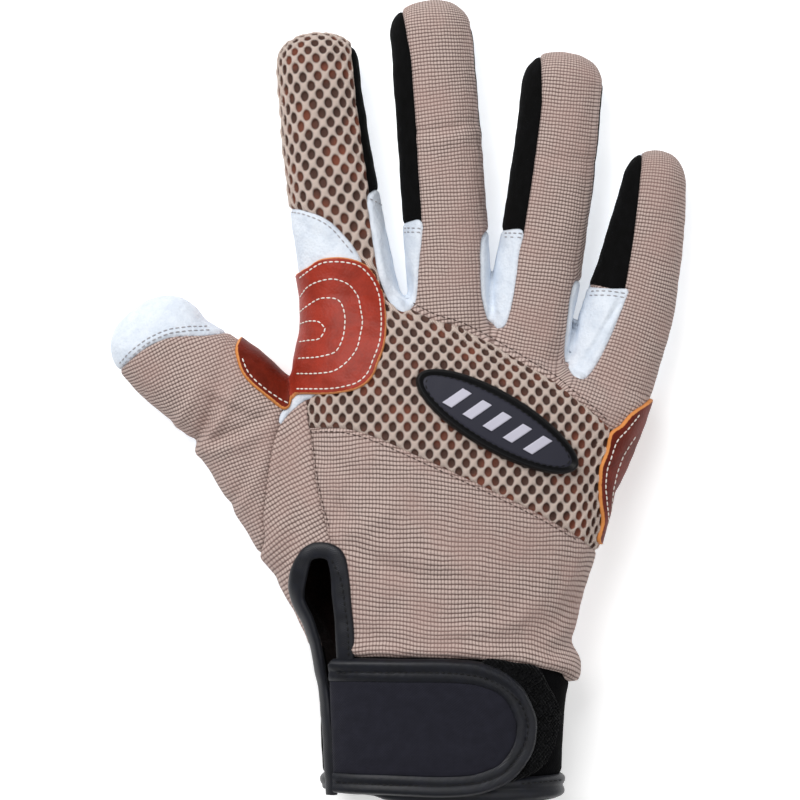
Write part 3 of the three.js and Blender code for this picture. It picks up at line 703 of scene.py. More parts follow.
def linear(hex_colour):
    """An sRGB hex colour as Blender's linear values."""
    parts = [int(hex_colour[i : i + 2], 16) / 255 for i in (1, 3, 5)]
    return [c / 12.92 if c <= 0.04045 else ((c + 0.055) / 1.055) ** 2.4 for c in parts] + [1.0]


def add_node(tree, kind, values, settings):
    """Adds a node with its settings, and fills or links its sockets."""
    made = tree.nodes.new(kind)
    for key, value in settings.items():
        setattr(made, key, value)
    for socket, value in values.items():
        if isinstance(value, bpy.types.NodeSocket):
            tree.links.new(value, made.inputs[socket])
        else:
            made.inputs[socket].default_value = value
    return made


# Settings of a node that mixes two colours, with its colour output, and of one that turns a range smoothly
# to 0..1.
BLEND = {"data_type": "RGBA", "output": 2}
SMOOTH = {"interpolation_type": "SMOOTHSTEP"}


class Surface:
    """A material under construction on a piece's own coordinates."""

    def __init__(self, name, roughness, sheen=0.0, specular=0.2):
        self.material = bpy.data.materials.new(name)
        self.material.use_nodes = True
        self.shader = self.material.node_tree.nodes["Principled BSDF"]
        self.shader.inputs["Roughness"].default_value = roughness
        self.shader.inputs["Sheen Weight"].default_value = sheen
        self.shader.inputs["Specular IOR Level"].default_value = specular

    def add(self, kind, *values, sockets=None, output=0, **settings):
        """One output of a new node, whose values go to its sockets in order or by name."""
        values = sockets or dict(enumerate(values))
        return add_node(self.material.node_tree, "ShaderNode" + kind, values, settings).outputs[output]

    def finish(self, colour, height, depth_mm):
        """The finished material, coloured and with its pattern raised by a depth."""
        links = self.material.node_tree.links
        bump = self.add("Bump", sockets={"Height": height, "Distance": depth_mm * MM})
        links.new(colour, self.shader.inputs["Base Color"])
        links.new(bump, self.shader.inputs["Normal"])
        return self.material


def leather(name, colour, dark, roughness, grain=0.12, raw=None, specular=0.3):
    """Dyed leather: fine pores with painted shade, creases, a little darker in patches, pale where a cut edge
    is raw.
    """
    s = Surface(name, roughness, specular=specular)
    metres = s.add("TexCoord", output="Object")
    place = s.add("VectorMath", sockets={0: metres, "Scale": 1 / MM}, operation="SCALE")
    pores = s.add("TexVoronoi", sockets={"Vector": place, "Scale": 1.1})
    creases = s.add("TexNoise", sockets={"Vector": place, "Scale": 0.35, "Detail": 4.0, "Roughness": 0.6})
    low_pores = s.add("Math", pores, 0.6, operation="MULTIPLY")
    height = s.add("Math", creases, 1.4, low_pores, operation="MULTIPLY_ADD")
    patches = s.add("TexNoise", sockets={"Vector": place, "Scale": 0.16, "Detail": 5.0, "Roughness": 0.65})
    patches = s.add("MapRange", patches, 0.35, 0.7, **SMOOTH)
    finish = s.add("Mix", sockets={0: patches, 6: linear(colour), 7: linear(dark)}, **BLEND)
    # Painted shade: the bottoms of the pores are mixed towards the darker colour.
    pore_shade = s.add("MapRange", pores, 0.5, 0.1, **SMOOTH)
    pore_shade = s.add("Math", pore_shade, 0.35, operation="MULTIPLY")
    finish = s.add("Mix", sockets={0: pore_shade, 6: finish, 7: linear(dark)}, **BLEND)
    if raw:
        edge = s.add("Attribute", output="Fac", attribute_name="border_mm")
        fibres = s.add("TexNoise", sockets={"Vector": place, "Scale": 1.2, "Detail": 2.0})
        ragged = s.add("Math", fibres, 0.35, edge, operation="MULTIPLY_ADD")
        inside = s.add("MapRange", ragged, 0.5, 0.75, **SMOOTH)
        finish = s.add("Mix", sockets={0: inside, 6: linear(raw), 7: finish}, **BLEND)
    return s.finish(finish, height, grain)


def plain_cloth(name, colour, light, roughness, thread, sheen=0.1, depth=0.1, specular=0.12):
    """Dark cloth or tape with a fine even weave, drawn coarser than real so that it shows."""
    s = Surface(name, roughness, sheen, specular)
    place = s.add("UVMap", uv_map="cloth_mm")
    threads = []
    for axis in (0, 1):
        turn = s.add("Math", s.add("SeparateXYZ", place, output=axis), math.pi / thread, operation="MULTIPLY")
        threads.append(s.add("Math", turn, operation="SINE"))
    grid = s.add("Math", *threads, operation="MULTIPLY")
    fade = s.add("TexNoise", sockets={"Vector": place, "Scale": 0.25, "Detail": 4.0, "Roughness": 0.6})
    fade = s.add("MapRange", fade, 0.3, 0.8, **SMOOTH)
    dye = s.add("Mix", sockets={0: fade, 6: linear(colour), 7: linear(light)}, **BLEND)
    fuzz = s.add("TexNoise", sockets={"Vector": place, "Scale": 0.8, "Detail": 3.0})
    return s.finish(dye, s.add("Math", grid, 0.5, fuzz, operation="MULTIPLY_ADD"), depth)


# Buffed white leather: matt and faintly blue, with fine pores. The lining is dark brushed knit, seen only
# inside.
white_leather = leather("white_leather", "#E3EAF3", "#D3DCE8", 0.6, 0.22)
lining_dark = plain_cloth("lining_dark", "#1A1211", "#2A1C19", 0.95, 0.6)
hand_part, wrist = cut(body, polygon_distance(body[0], fingerward(cuff_seam)))
cap_region = np.concatenate(
    [cap_seam, [(cap_seam[-1][0], FAR_UP), (FAR_LEFT, FAR_UP), (FAR_LEFT, cap_seam[0][1])]]
)
cap, rest = cut(hand_part, polygon_distance(hand_part[0], cap_region))
palm, rest = cut(rest, rest[0][:, 2] - PALM_SEAM)
cloth_piece("thumb_cap", cap, white_leather, hand_uv, lining=white_leather)
cloth_piece("palm_leather", palm, white_leather, hand_uv)
for name, line in CROTCHES.items():
    piece, rest = cut(rest, polygon_distance(rest[0], line))
    cloth_piece(name, piece, white_leather, hand_uv, lining=white_leather, fine=1)


# Side strips of the fingers
# Narrow strips of matt black stretch cloth, sewn in along the sides of the fingers between the back and the
# leather front. They reach from the fingertip to the white piece at the finger's root.
SIDE_REACH = 2.2
TIP_SHARE = 0.85
TIP_TAPER = 0.65
# Each row is the finger, the side, where the strip starts and ends along the finger, and how far in it
# reaches at its root end and near the fingertip.
STRIPS = {
    "index_side_strip": ("index", 1, 0.5, 0.985, 2.6, 1.7),
    "middle_thumbward_strip": ("middle", -1, 0.42, 0.99, 5.3, 5.6),
    "middle_outward_strip": ("middle", 1, 0.5, 0.95, 0.0, 0.1),
    "ring_thumbward_strip": ("ring", -1, 0.49, 0.99, 6.6, 6.4),
    "ring_outward_strip": ("ring", 1, 0.53, 0.95, 0.1, 0.2),
    "little_side_strip": ("little", -1, 0.53, 0.99, 10.6, 5.6),
}
# Knitted stretch cloth: deep black and quite without gloss.
black_stretch = plain_cloth("black_stretch", "#060606", "#0C0C0D", 0.95, 0.5, sheen=0.0)
for name, (finger, side, start, end, root_inset, tip_inset) in STRIPS.items():
    across, along, width, _ = finger_place(FINGERS[finger], rest[0])
    share = along / FINGERS[finger]["length"]
    inset = np.interp(share, [start, TIP_SHARE, 1.0], [root_inset, tip_inset, tip_inset * TIP_TAPER])
    inside = width / 2 - inset - side * across
    within = np.maximum(inside, np.maximum(start - share, share - end) * FINGERS[finger]["length"])
    within = np.maximum(within, side * across - width / 2 - SIDE_REACH)
    strip, rest = cut(rest, within)
    cloth_piece(name, strip, black_stretch, hand_uv, roll=0.4)


# Leather beside the index finger
# A white crescent between the mesh and the brown patch, and a small corner of the palm's leather that comes
# up between the thumb and the hand, both sewn in flat.
index_side_line = ring(
    (250, 310), (250, 206), (290, 209), (304, 212), (320, 217), (333, 225), (344, 236), (355, 249),
    (363, 265), (366, 290), (340, 320),
)
corner_line = ring(
    (289, 402), (295, 391), (316, 391), (311, 397), (300, 402), (290, 412), (282, 423), (281, 415),
)
piece, rest = cut(rest, polygon_distance(rest[0], index_side_line))
cloth_piece("index_side_leather", piece, white_leather, hand_uv)
piece, rest = cut(rest, polygon_distance(rest[0], corner_line))
cloth_piece("palm_leather_corner", piece, white_leather, hand_uv, replaces=False)

# Woven panels
# Ribbed beige stretch cloth on the backs of the thumb, the three outer fingers and the hand, with a narrow
# gusset beside the thumb. The ribs lie across each finger and the hand, and slant on the thumb.
knuckle_seam = seam(
    (400, 303), (412, 308), (434, 319), (460, 327), (487, 341), (510, 354), (529, 367), (552, 380),
    (571, 396), (587, 409), (600, 421), (612, 434), (640, 470),
)
band_seam = seam(
    (270, 424), (310, 427), (340, 427), (372, 435), (418, 455), (457, 473), (495, 491), (533, 510),
    (571, 532), (592, 547), (640, 580),
)
gusset_seam = seam(
    (303, 385), (306, 405), (310, 435), (314, 469), (319, 495), (326, 524), (331, 545), (333, 600), (333, 680)
)
thumb_seam = seam(
    (296, 380), (291, 402), (282, 422), (275, 441), (270, 469), (266, 495), (263, 518), (262, 545), (240, 600)
)


def thumbward(line):
    """The side of a seam along the hand that has the thumb, as an outline."""
    return np.concatenate([line, [(line[-1][0], FAR_DOWN), (FAR_LEFT, FAR_DOWN), (FAR_LEFT, FAR_UP)]])


def finger_uv(names):
    """Cloth that runs along each of the named fingers and evens out between them."""

    def uv(p, n):
        total = np.zeros((len(p), 2))
        weights = np.zeros(len(p))
        for name in names:
            line = FINGERS[name]
            spread = unrolled(p, n, np.full(len(p), FINGER_TOP))
            across, along, _, _ = finger_place(line, np.column_stack([spread, p[:, 2]]))
            weight = 1 / (across**2 + 16) ** 3
            root = line["points"][0]
            total += weight[:, None] * np.column_stack([across + root[0], along + root[1]])
            weights += weight
        total /= weights[:, None]
        total[:, 1] += 0.8 * waved(p[:, 0], p[:, 1])
        return total

    return uv


def turned_uv(degrees, bend=0.0):
    """Cloth whose ribs rise to the right by an angle, and bend."""
    a = math.radians(degrees)

    def uv(p, n):
        q = unrolled(p, n, np.full(len(p), FINGER_TOP))
        u = q[:, 0] * math.cos(a) + q[:, 1] * math.sin(a)
        v = -q[:, 0] * math.sin(a) + q[:, 1] * math.cos(a)
        return np.column_stack([u, v + bend * (u + 50) ** 2 + waved(u, v)])

    return uv


# The short stitches that make up a rib, as wide as in the photograph.
COLUMN = 1.05


def woven(name, rib, light, dark, shade):
    """Ribbed stretch cloth: rounded ribs across, each made of short stitches."""
    s = Surface(name, 0.88, sheen=0.08)
    place = s.add("UVMap", uv_map="cloth_mm")
    wander = s.add("TexNoise", sockets={"Vector": place, "Scale": 0.35, "Detail": 3.0})
    wander = s.add("Math", s.add("Math", wander, 0.5, operation="SUBTRACT"), 0.5, operation="MULTIPLY")
    waves = []
    for axis, pitch in ((1, rib), (0, COLUMN)):
        wave = s.add("Math", s.add("SeparateXYZ", place, output=axis), wander, operation="ADD")
        wave = s.add("Math", s.add("Math", wave, math.pi / pitch, operation="MULTIPLY"), operation="SINE")
        wave = s.add("Math", wave, operation="ABSOLUTE")
        waves.append(s.add("Math", wave, 0.8, operation="POWER"))
    columns = s.add("Math", waves[1], 0.72, 0.28, operation="MULTIPLY_ADD")
    height = s.add("Math", waves[0], columns, operation="MULTIPLY")
    yarn = s.add("TexNoise", sockets={"Vector": place, "Scale": 3.2, "Detail": 4.0, "Roughness": 0.7})
    yarn = s.add("Math", yarn, 0.4, operation="MULTIPLY")
    # Painted shade and highlight: low places between ribs and stitches take the dark colour, tops the light.
    tone = s.add("Math", height, 0.85, yarn, operation="MULTIPLY_ADD")
    tone = s.add("MapRange", tone, 0.2, 0.92, **SMOOTH)
    base = s.add("Mix", sockets={0: tone, 6: linear(dark), 7: linear(light)}, **BLEND)
    cloud = s.add("TexNoise", sockets={"Vector": place, "Scale": 0.06, "Detail": 3.0})
    cloud = s.add("MapRange", cloud, 0.35, 0.7, **SMOOTH)
    cloud = s.add("Math", cloud, 0.4, operation="MULTIPLY")
    dye = s.add("Mix", sockets={0: cloud, 6: base, 7: linear(shade)}, **BLEND)
    return s.finish(dye, height, 0.3)


# Ribbed nylon and elastane: pinkish beige ribs with brown shade between them. The hand's ribs are wider
# apart.
woven_fingers = woven("woven_fingers", 1.13, "#CEB9B1", "#5C4640", "#B4938B")
woven_hand = woven("woven_hand", 1.38, "#CEB9B1", "#5C4640", "#B4938B")
thumb_back, rest = cut(rest, polygon_distance(rest[0], thumbward(thumb_seam)))
gusset, rest = cut(rest, polygon_distance(rest[0], thumbward(gusset_seam)))
three_region = np.concatenate([knuckle_seam, [(FAR_RIGHT, FAR_UP), (knuckle_seam[0][0], FAR_UP)]])
three, rest = cut(rest, polygon_distance(rest[0], three_region))
band, hand_back = cut(rest, polygon_distance(rest[0], fingerward(band_seam)))
cloth_piece("woven_thumb_back", thumb_back, woven_fingers, turned_uv(21, 0.0035))
cloth_piece("woven_gusset", gusset, woven_hand, turned_uv(32, 0.002))
cloth_piece(
    "woven_three_fingers", three, woven_fingers, finger_uv(["middle", "ring", "little"])
)


def overhang(p, n, d, uv):
    """The hand back bulges out over the cuff's edge."""
    s = -polygon_distance(p, fingerward(cuff_seam))
    return 1.3 * np.exp(-(((s - 2.2) / 2.4) ** 2)) * np.clip(d / 1.5, 0.2, 1)


cloth_piece("woven_hand_back", hand_back, woven_hand, hand_uv, shape=overhang)

# Mesh panel
# Spacer mesh on the back of the index finger and across the knuckles: thick light knit round rows of oval
# holes. Every second row is moved by half a hole, and the brown backing shows at the bottom of each hole.
HOLE_PITCH = 4.9
HOLE_ROW = 3.0
HOLE_WIDE = 1.28
HOLE_TALL = 1.68
KNIT = 0.62
BAND_TIGHTER = 1.09


def hole_distance(uv):
    """How far each point is from the nearest hole's middle, 1 at the hole's rim."""
    best = np.full(len(uv), 9.0)
    for shift_u, shift_v in ((0, 0), (HOLE_PITCH / 2, HOLE_ROW)):
        du = uv[:, 0] + shift_u
        dv = uv[:, 1] + shift_v
        du = du - HOLE_PITCH * np.round(du / HOLE_PITCH)
        dv = dv - 2 * HOLE_ROW * np.round(dv / (2 * HOLE_ROW))
        best = np.minimum(best, np.sqrt((du / HOLE_WIDE) ** 2 + (dv / HOLE_TALL) ** 2))
    return best


def mesh_relief(p, n, d, uv):
    """Holes sunk into the mesh, but not into its seam."""
    distance = hole_distance(uv)
    dip = 1 / (1 + np.exp((distance - 0.92) * 9))
    solid = np.clip(d / 1.4, 0, 1)
    return (0.4 - 1.5 * dip) * solid


def mesh_uv(p, n):
    """Rows of holes along the index finger, which turn into rows across the knuckles."""
    on_finger = finger_uv(["index"])(p, n)
    on_band = unrolled(p, n, np.full(len(p), HAND_TOP)) * BAND_TIGHTER
    lower, upper = at(0, 345)[1], at(0, 250)[1]
    share = np.clip((p[:, 1] - lower) / (upper - lower), 0, 1)
    share = (share * share * (3 - 2 * share))[:, None]
    return on_finger * share + on_band * (1 - share)


def spacer(name):
    """Spacer mesh: light knitted yarn round dark oval holes, through which brown backing shows."""
    s = Surface(name, 0.9, sheen=0.05)
    place = s.add("UVMap", uv_map="cloth_mm")
    u, v = s.add("SeparateXYZ", place), s.add("SeparateXYZ", place, output=1)
    distances = []
    for shift_u, shift_v in ((0.0, 0.0), (HOLE_PITCH / 2, HOLE_ROW)):
        squares = []
        for along, shift, pitch, size in (
            (u, shift_u, HOLE_PITCH, HOLE_WIDE),
            (v, shift_v, 2 * HOLE_ROW, HOLE_TALL),
        ):
            cell = s.add("Math", s.add("Math", along, shift, operation="ADD"), pitch, operation="DIVIDE")
            cell = s.add("Math", cell, s.add("Math", cell, operation="ROUND"), operation="SUBTRACT")
            cell = s.add("Math", cell, pitch / size, operation="MULTIPLY")
            squares.append(s.add("Math", cell, cell, operation="MULTIPLY"))
        distances.append(s.add("Math", s.add("Math", *squares, operation="ADD"), operation="SQRT"))
    distance = s.add("Math", *distances, operation="MINIMUM")
    fibres = s.add("TexNoise", sockets={"Vector": place, "Scale": 1.6, "Detail": 3.0})
    fibres = s.add("Math", fibres, 0.5, operation="SUBTRACT")
    ragged = s.add("Math", fibres, 0.35, distance, operation="MULTIPLY_ADD")
    waves = []
    for way in ("ADD", "SUBTRACT"):
        wave = s.add("Math", s.add("Math", u, v, operation=way), math.pi / KNIT, operation="MULTIPLY")
        waves.append(s.add("Math", s.add("Math", wave, operation="SINE"), operation="ABSOLUTE"))
    knit = s.add("Math", *waves, operation="MULTIPLY")
    # Painted highlight on the knit's raised strands and painted shade in its dips.
    lit = s.add("MapRange", knit, 0.0, 0.75, **SMOOTH)
    yarn = s.add("Mix", sockets={0: lit, 6: linear("#A4897B"), 7: linear("#F4E6DC")}, **BLEND)
    red = s.add("TexNoise", sockets={"Vector": place, "Scale": 0.09, "Detail": 1.0})
    red = s.add("MapRange", red, 0.45, 0.7, **SMOOTH)
    backing = s.add("Mix", sockets={0: red, 6: linear("#5A423A"), 7: linear("#87503F")}, **BLEND)
    wall = s.add("MapRange", ragged, 0.88, 1.1, **SMOOTH)
    dye = s.add("Mix", sockets={0: wall, 6: backing, 7: yarn}, **BLEND)
    rise = s.add("MapRange", ragged, 0.8, 1.15, **SMOOTH)
    return s.finish(dye, s.add("Math", knit, 0.5, rise, operation="MULTIPLY_ADD"), 0.3)


# Polyester spacer mesh: soft and matt, light beige yarn over brown.
spacer_beige = spacer("spacer_beige")
cloth_piece(
    "mesh_index_and_knuckles", band, spacer_beige, mesh_uv, fine=1, shape=mesh_relief,
    thickness=1.6,
)

# Cuff
# A tube of black webbing cloth round the wrist, open along the slit, with its hem bound by two rolled rows of
# satin tape. It sits a little deeper than the hand back, which bulges over it.
HEM_TOP = at(0, 771)[1]
TAPE = 3.6


def hem_tapes(p, n, d, uv):
    """Two rounded rows side by side."""
    return 0.9 * np.abs(np.sin(math.pi * (p[:, 1] - HEM_TOP) / TAPE)) ** 0.6


# Polyester webbing is matt black. The satin binding tape is blue-black with a soft gloss.
black_webbing = plain_cloth("black_webbing", "#050506", "#0B0B0D", 0.9, 0.6, sheen=0.0, specular=0.06)
black_binding = plain_cloth("black_binding", "#070911", "#10131F", 0.4, 0.35, 0.05, 0.05, 0.36)
hem, cuff = cut(wrist, wrist[0][:, 1] - HEM_TOP)
cloth_piece("cuff_band", cuff, black_webbing, hand_uv, lift=-0.6, creases=0.4)
cloth_piece("cuff_hem", hem, black_binding, hand_uv, shape=hem_tapes, fine=1, lift=-0.4)

# Wear patches
# Brown-red cow leather, sewn flat on top of the panels where a rope wears them: at the index finger's root,
# inside the thumb and on the outer edge of the hand. The cut edges are raw and tan.
PATCH = 1.0
PATCH_LIFT = 0.3
PATCH_ROUND = 0.45
PATCH_FLOOR = 2.2


def raised(thickness, round_width):
    """A flat layer with a rounded edge."""

    def shape(p, n, d, uv):
        return thickness * np.sqrt(np.clip(1 - (1 - np.minimum(d / round_width, 1)) ** 2, 0, 1))

    return shape


patch_lines = {
    "patch_index": ring(
        (288, 395), (272, 340), (275, 290), (301, 272), (311, 266), (321, 260), (337, 258), (352, 260),
        (364, 265), (372, 273), (378, 284), (383, 299), (386, 318), (386, 335), (384, 348), (379, 362),
        (372, 378), (360, 388), (346, 392), (329, 394), (311, 394), (299, 394),
    ),
    "patch_thumb": ring(
        (291, 404), (287, 409), (282, 408), (265, 395), (252, 384), (243, 373), (238, 360), (236, 346),
        (245, 330), (262, 345), (280, 362), (293, 384),
    ),
    "patch_outer_edge": ring(
        (596, 542), (598, 520), (596, 501), (595, 482), (596, 465), (602, 449), (606, 432), (617, 424),
        (627, 413), (640, 405), (660, 396), (660, 440), (640, 500), (625, 545),
    ),
}
# Smooth dyed leather with a slight gloss, and a darker copy as painted shade on the thumb and outer edge.
brown_leather = leather("brown_leather", "#A03220", "#8A2A1A", 0.45, 0.1, raw="#D98E58", specular=0.22)
shaded_leather = leather("brown_leather_painted_shade", "#742415", "#5E1B0E", 0.5, 0.1, raw="#DB8F50", specular=0.12)
raw_edge = leather("raw_leather_edge", "#D98E58", "#B8643A", 0.85)
for name, line in patch_lines.items():
    s = np.maximum(polygon_distance(full[0], line), PATCH_FLOOR - full[0][:, 2])
    patch, _ = cut(full, s)
    # The patches on the thumb and on the outer edge take the copy with painted shade.
    cloth_piece(
        name, patch, brown_leather if name == "patch_index" else shaded_leather, hand_uv, lift=PATCH_LIFT,
        thickness=0.4, roll=0, shape=raised(PATCH, PATCH_ROUND), fine=1,
        lining=raw_edge,
    )

# Badge
# A long oval of black moulded rubber, sewn through a groove on to the mesh over the knuckles. It has a
# raised rim and a row of slanted bars, like the strands of a rope, on a lower field.
BADGE_MIDDLE = at(494, 421)
BADGE_TURN = math.radians(-29.8)
BADGE_LENGTH = 56.0
BADGE_WIDTH = 18.0
BADGE_RIM = 2.5
BAR_PITCH = 7.0
BAR_LEAN = 0.5
BAR_COUNT = 5
BAR_HALF = 1.75
BAR_PAINT = 1.6
BAR_REACH = 3.4
BADGE_FLOOR = 20


def badge_uv(p, n):
    """Places along and across the badge from its middle."""
    gap = p[:, :2] - BADGE_MIDDLE
    c, s = math.cos(BADGE_TURN), math.sin(BADGE_TURN)
    return np.column_stack([gap[:, 0] * c + gap[:, 1] * s, -gap[:, 0] * s + gap[:, 1] * c])


def badge_depth(uv):
    """Distance in from the badge's rim."""
    half_length, half_width = BADGE_LENGTH / 2, BADGE_WIDTH / 2
    q = np.sqrt((uv[:, 0] / half_length) ** 2 + (uv[:, 1] / half_width) ** 2)
    slope = np.sqrt((uv[:, 0] / half_length**2) ** 2 + (uv[:, 1] / half_width**2) ** 2) / np.maximum(q, 1e-6)
    return (1 - q) / np.maximum(slope, 1e-6)


def bar_mask(uv):
    """1 on the badge's slanted bars and 0 between them."""
    lean = uv[:, 0] - BAR_LEAN * uv[:, 1]
    cell = lean / BAR_PITCH
    cell = np.abs(cell - np.round(cell)) * BAR_PITCH
    inside = (np.abs(lean) < BAR_PITCH * BAR_COUNT / 2) & (np.abs(uv[:, 1]) < BAR_REACH)
    return np.clip((BAR_HALF - cell) / 0.35, 0, 1) * inside


def badge_relief(p, n, d, uv):
    """The badge's rounded edge, rim, groove and bars."""
    depth = badge_depth(uv)
    rim = np.exp(-(((depth - 1.1) / 0.75) ** 2)) * 0.9
    groove = np.exp(-(((depth - BADGE_RIM) / 0.3) ** 2)) * -0.25
    edge = 2.0 * np.sqrt(np.clip(1 - (1 - np.clip(depth / 0.8, 0, 1)) ** 2, 0, 1))
    return edge + rim + groove + 0.35 * bar_mask(uv)


def badge_rubber():
    """Moulded rubber: dark grey field and light painted bars in a black rim, dull with a faint grain."""
    s = Surface("badge_rubber", 0.5)
    place = s.add("UVMap", uv_map="cloth_mm")
    u, v = s.add("SeparateXYZ", place), s.add("SeparateXYZ", place, output=1)
    lean = s.add("Math", u, s.add("Math", v, BAR_LEAN, operation="MULTIPLY"), operation="SUBTRACT")
    cell = s.add("Math", lean, BAR_PITCH, operation="DIVIDE")
    cell = s.add("Math", cell, s.add("Math", cell, operation="ROUND"), operation="SUBTRACT")
    cell = s.add("Math", s.add("Math", cell, operation="ABSOLUTE"), BAR_PITCH, operation="MULTIPLY")
    bar = s.add("Math", cell, BAR_PAINT, operation="LESS_THAN")
    for along, limit in ((lean, BAR_PITCH * BAR_COUNT / 2), (v, BAR_REACH - 0.1)):
        near = s.add("Math", s.add("Math", along, operation="ABSOLUTE"), limit, operation="LESS_THAN")
        bar = s.add("Math", bar, near, operation="MULTIPLY")
    squares, slopes = [], []
    for along, half in ((u, BADGE_LENGTH / 2), (v, BADGE_WIDTH / 2)):
        share = s.add("Math", along, half, operation="DIVIDE")
        steep = s.add("Math", share, half, operation="DIVIDE")
        squares.append(s.add("Math", share, share, operation="MULTIPLY"))
        slopes.append(s.add("Math", steep, steep, operation="MULTIPLY"))
    q = s.add("Math", s.add("Math", *squares, operation="ADD"), operation="SQRT")
    slope = s.add("Math", s.add("Math", *slopes, operation="ADD"), operation="SQRT")
    inward = s.add("Math", s.add("Math", 1.0, q, operation="SUBTRACT"), q, operation="MULTIPLY")
    depth = s.add("Math", inward, slope, operation="DIVIDE")
    inside = s.add("Math", depth, BADGE_RIM, operation="GREATER_THAN")
    field = s.add("Mix", sockets={0: inside, 6: linear("#0B0B0D"), 7: linear("#2C2C37")}, **BLEND)
    paint = s.add("Mix", sockets={0: bar, 6: field, 7: linear("#C4C2D0")}, **BLEND)
    return s.finish(paint, s.add("TexNoise", sockets={"Vector": place, "Scale": 2.5, "Detail": 3.0}), 0.05)


s = np.maximum(badge_depth(badge_uv(full[0], None)) * -1, BADGE_FLOOR - full[0][:, 2])
badge, _ = cut(full, s)
cloth_piece(
    "badge", badge, badge_rubber(), badge_uv, lift=0.4, thickness=0.5, roll=0, shape=badge_relief, fine=2,
    creases=0.3,
)

# Strap
# A stiff hook-and-loop strap over the wrist, sewn to the cuff at the slit. A smooth cloth panel has a wide
# satin tape folded round its edge and its rounded end, held by one row of stitches.
STRAP_TAPE = 6.6
STRAP_LIFT = 1.9
FIRST_SWELL = 0.55
STRAP_LINE = (
    (333, 654), (345, 653), (380, 653), (411, 653), (441, 653), (472, 655), (487, 659), (503, 666),
    (518, 679), (527, 695), (533, 713), (533, 728), (530, 744), (522, 759), (510, 773), (493, 782),
    (472, 788), (441, 790), (411, 789), (380, 788), (345, 788), (338, 787),
)
strap_line = spline([at(x, y) for x, y in STRAP_LINE], 4)
strap_end = at(334, 720)[0]


def strap_depth(p):
    """Distance in from the strap's sewn edge, which leaves out its thumb-side end."""
    extended = strap_line.copy()
    extended[extended[:, 0] < strap_end + 3, 0] -= 20
    return -polygon_distance(p, extended)


s = np.maximum(polygon_distance(full[0], strap_line), SLIT_FLOOR - full[0][:, 2])
strap, _ = cut(full, s)
tape, panel = cut(strap, strap_depth(strap[0]) - STRAP_TAPE)


def tape_relief(p, n, d, uv):
    """A folded tape that swells on both sides of its stitch row, slightly puckered."""
    depth = strap_depth(p)
    edge = STRAP_LIFT * np.sqrt(np.clip(1 - (1 - np.clip(depth / 1.3, 0, 1)) ** 2, 0, 1))
    row_depth = STRAP_TAPE * FIRST_SWELL
    swell = 0.55 * np.sin(math.pi * np.clip(depth / row_depth, 0, 1))
    swell += 0.45 * np.sin(math.pi * np.clip((depth - row_depth) / (STRAP_TAPE - row_depth), 0, 1))
    pucker = 0.035 * np.sin(uv[:, 0] * 2.4 + 3 * np.sin(uv[:, 1])) * np.clip(depth, 0, 1)
    return edge + swell + pucker


def panel_relief(p, n, d, uv):
    """The strap's panel, padded a little towards its middle."""
    return STRAP_LIFT + 0.1 + 0.5 * np.clip(d / 5, 0, 1)


# Smooth dark cloth with a faint blue, almost without gloss.
strap_cloth = plain_cloth("strap_cloth", "#1D1D26", "#23232D", 0.7, 0.45, sheen=0.05)
cloth_piece(
    "strap_binding", tape, black_binding, hand_uv, lift=0.3, thickness=0.5, roll=0, shape=tape_relief, fine=1,
    creases=0,
)
cloth_piece(
    "strap_panel", panel, strap_cloth, hand_uv, lift=0.3, thickness=0.5, roll=0.3, shape=panel_relief, fine=1,
    creases=0,
)

# Loop patch
# Fuzzy black loop tape, sewn on the cuff beside and under the strap's rounded end, which its hooks hold on
# to. The pile stands up unevenly.
loop_line = ring(
    (480, 655), (512, 657), (535, 662), (545, 679), (555, 698), (558, 713), (555, 731), (550, 747),
    (541, 761), (520, 772), (490, 772), (470, 700), steps=5,
)
s = np.maximum(polygon_distance(full[0], loop_line), SLIT_FLOOR - full[0][:, 2])
loops, _ = cut(full, s)
pile = np.random.default_rng(7)


def loop_relief(p, n, d, uv):
    """Pile of uneven height."""
    return np.clip(d / 0.8, 0, 1) * (0.9 + 0.28 * pile.standard_normal(len(p)))


# Loop pile: the deepest black of all, quite without gloss.
black_loops = plain_cloth("black_loops", "#030304", "#101013", 1.0, 0.7, sheen=0.05, depth=0.6)
cloth_piece(
    "loop_patch", loops, black_loops, hand_uv, lift=0.0, thickness=0.4, roll=0, shape=loop_relief, fine=1,
    creases=0,
)

# Slit binding
# The same satin tape, folded over the slit's cut edge and sewn down. It runs from the hem up the thumb
# side, round the top, where it is folded narrow, and down to the strap.
SIDES = 18


def sweep(name, path, widths, height, material, normals):
    """A flattened round tape along a path, closed at both ends."""
    tangent = unit(np.gradient(path, axis=0))
    side = unit(np.cross(tangent, normals))
    up = np.cross(side, tangent)
    rings = []
    lengths = np.r_[0, np.cumsum(np.linalg.norm(np.diff(path, axis=0), axis=1))]
    uv = []
    for k in range(SIDES):
        angle = 2 * math.pi * k / SIDES
        c, s = math.cos(angle), math.sin(angle)
        reach = np.sign(c) * abs(c) ** 0.8 * widths / 2
        rings.append(path + side * reach[:, None] + up * (np.sign(s) * abs(s) ** 0.8 * height / 2))
        uv.append(np.column_stack([np.full(len(path), k / SIDES * 14.0), lengths]))
    points = np.stack(rings, 1).reshape(-1, 3)
    uv = np.stack(uv, 1).reshape(-1, 2)
    count = len(path)
    faces = []
    for i in range(count - 1):
        for k in range(SIDES):
            a, b = i * SIDES + k, i * SIDES + (k + 1) % SIDES
            faces.append((a, b, b + SIDES, a + SIDES))
    faces.append(tuple(range(SIDES))[::-1])
    faces.append(tuple(range((count - 1) * SIDES, count * SIDES)))
    return make_object(name, points, faces, [material], None, uv)


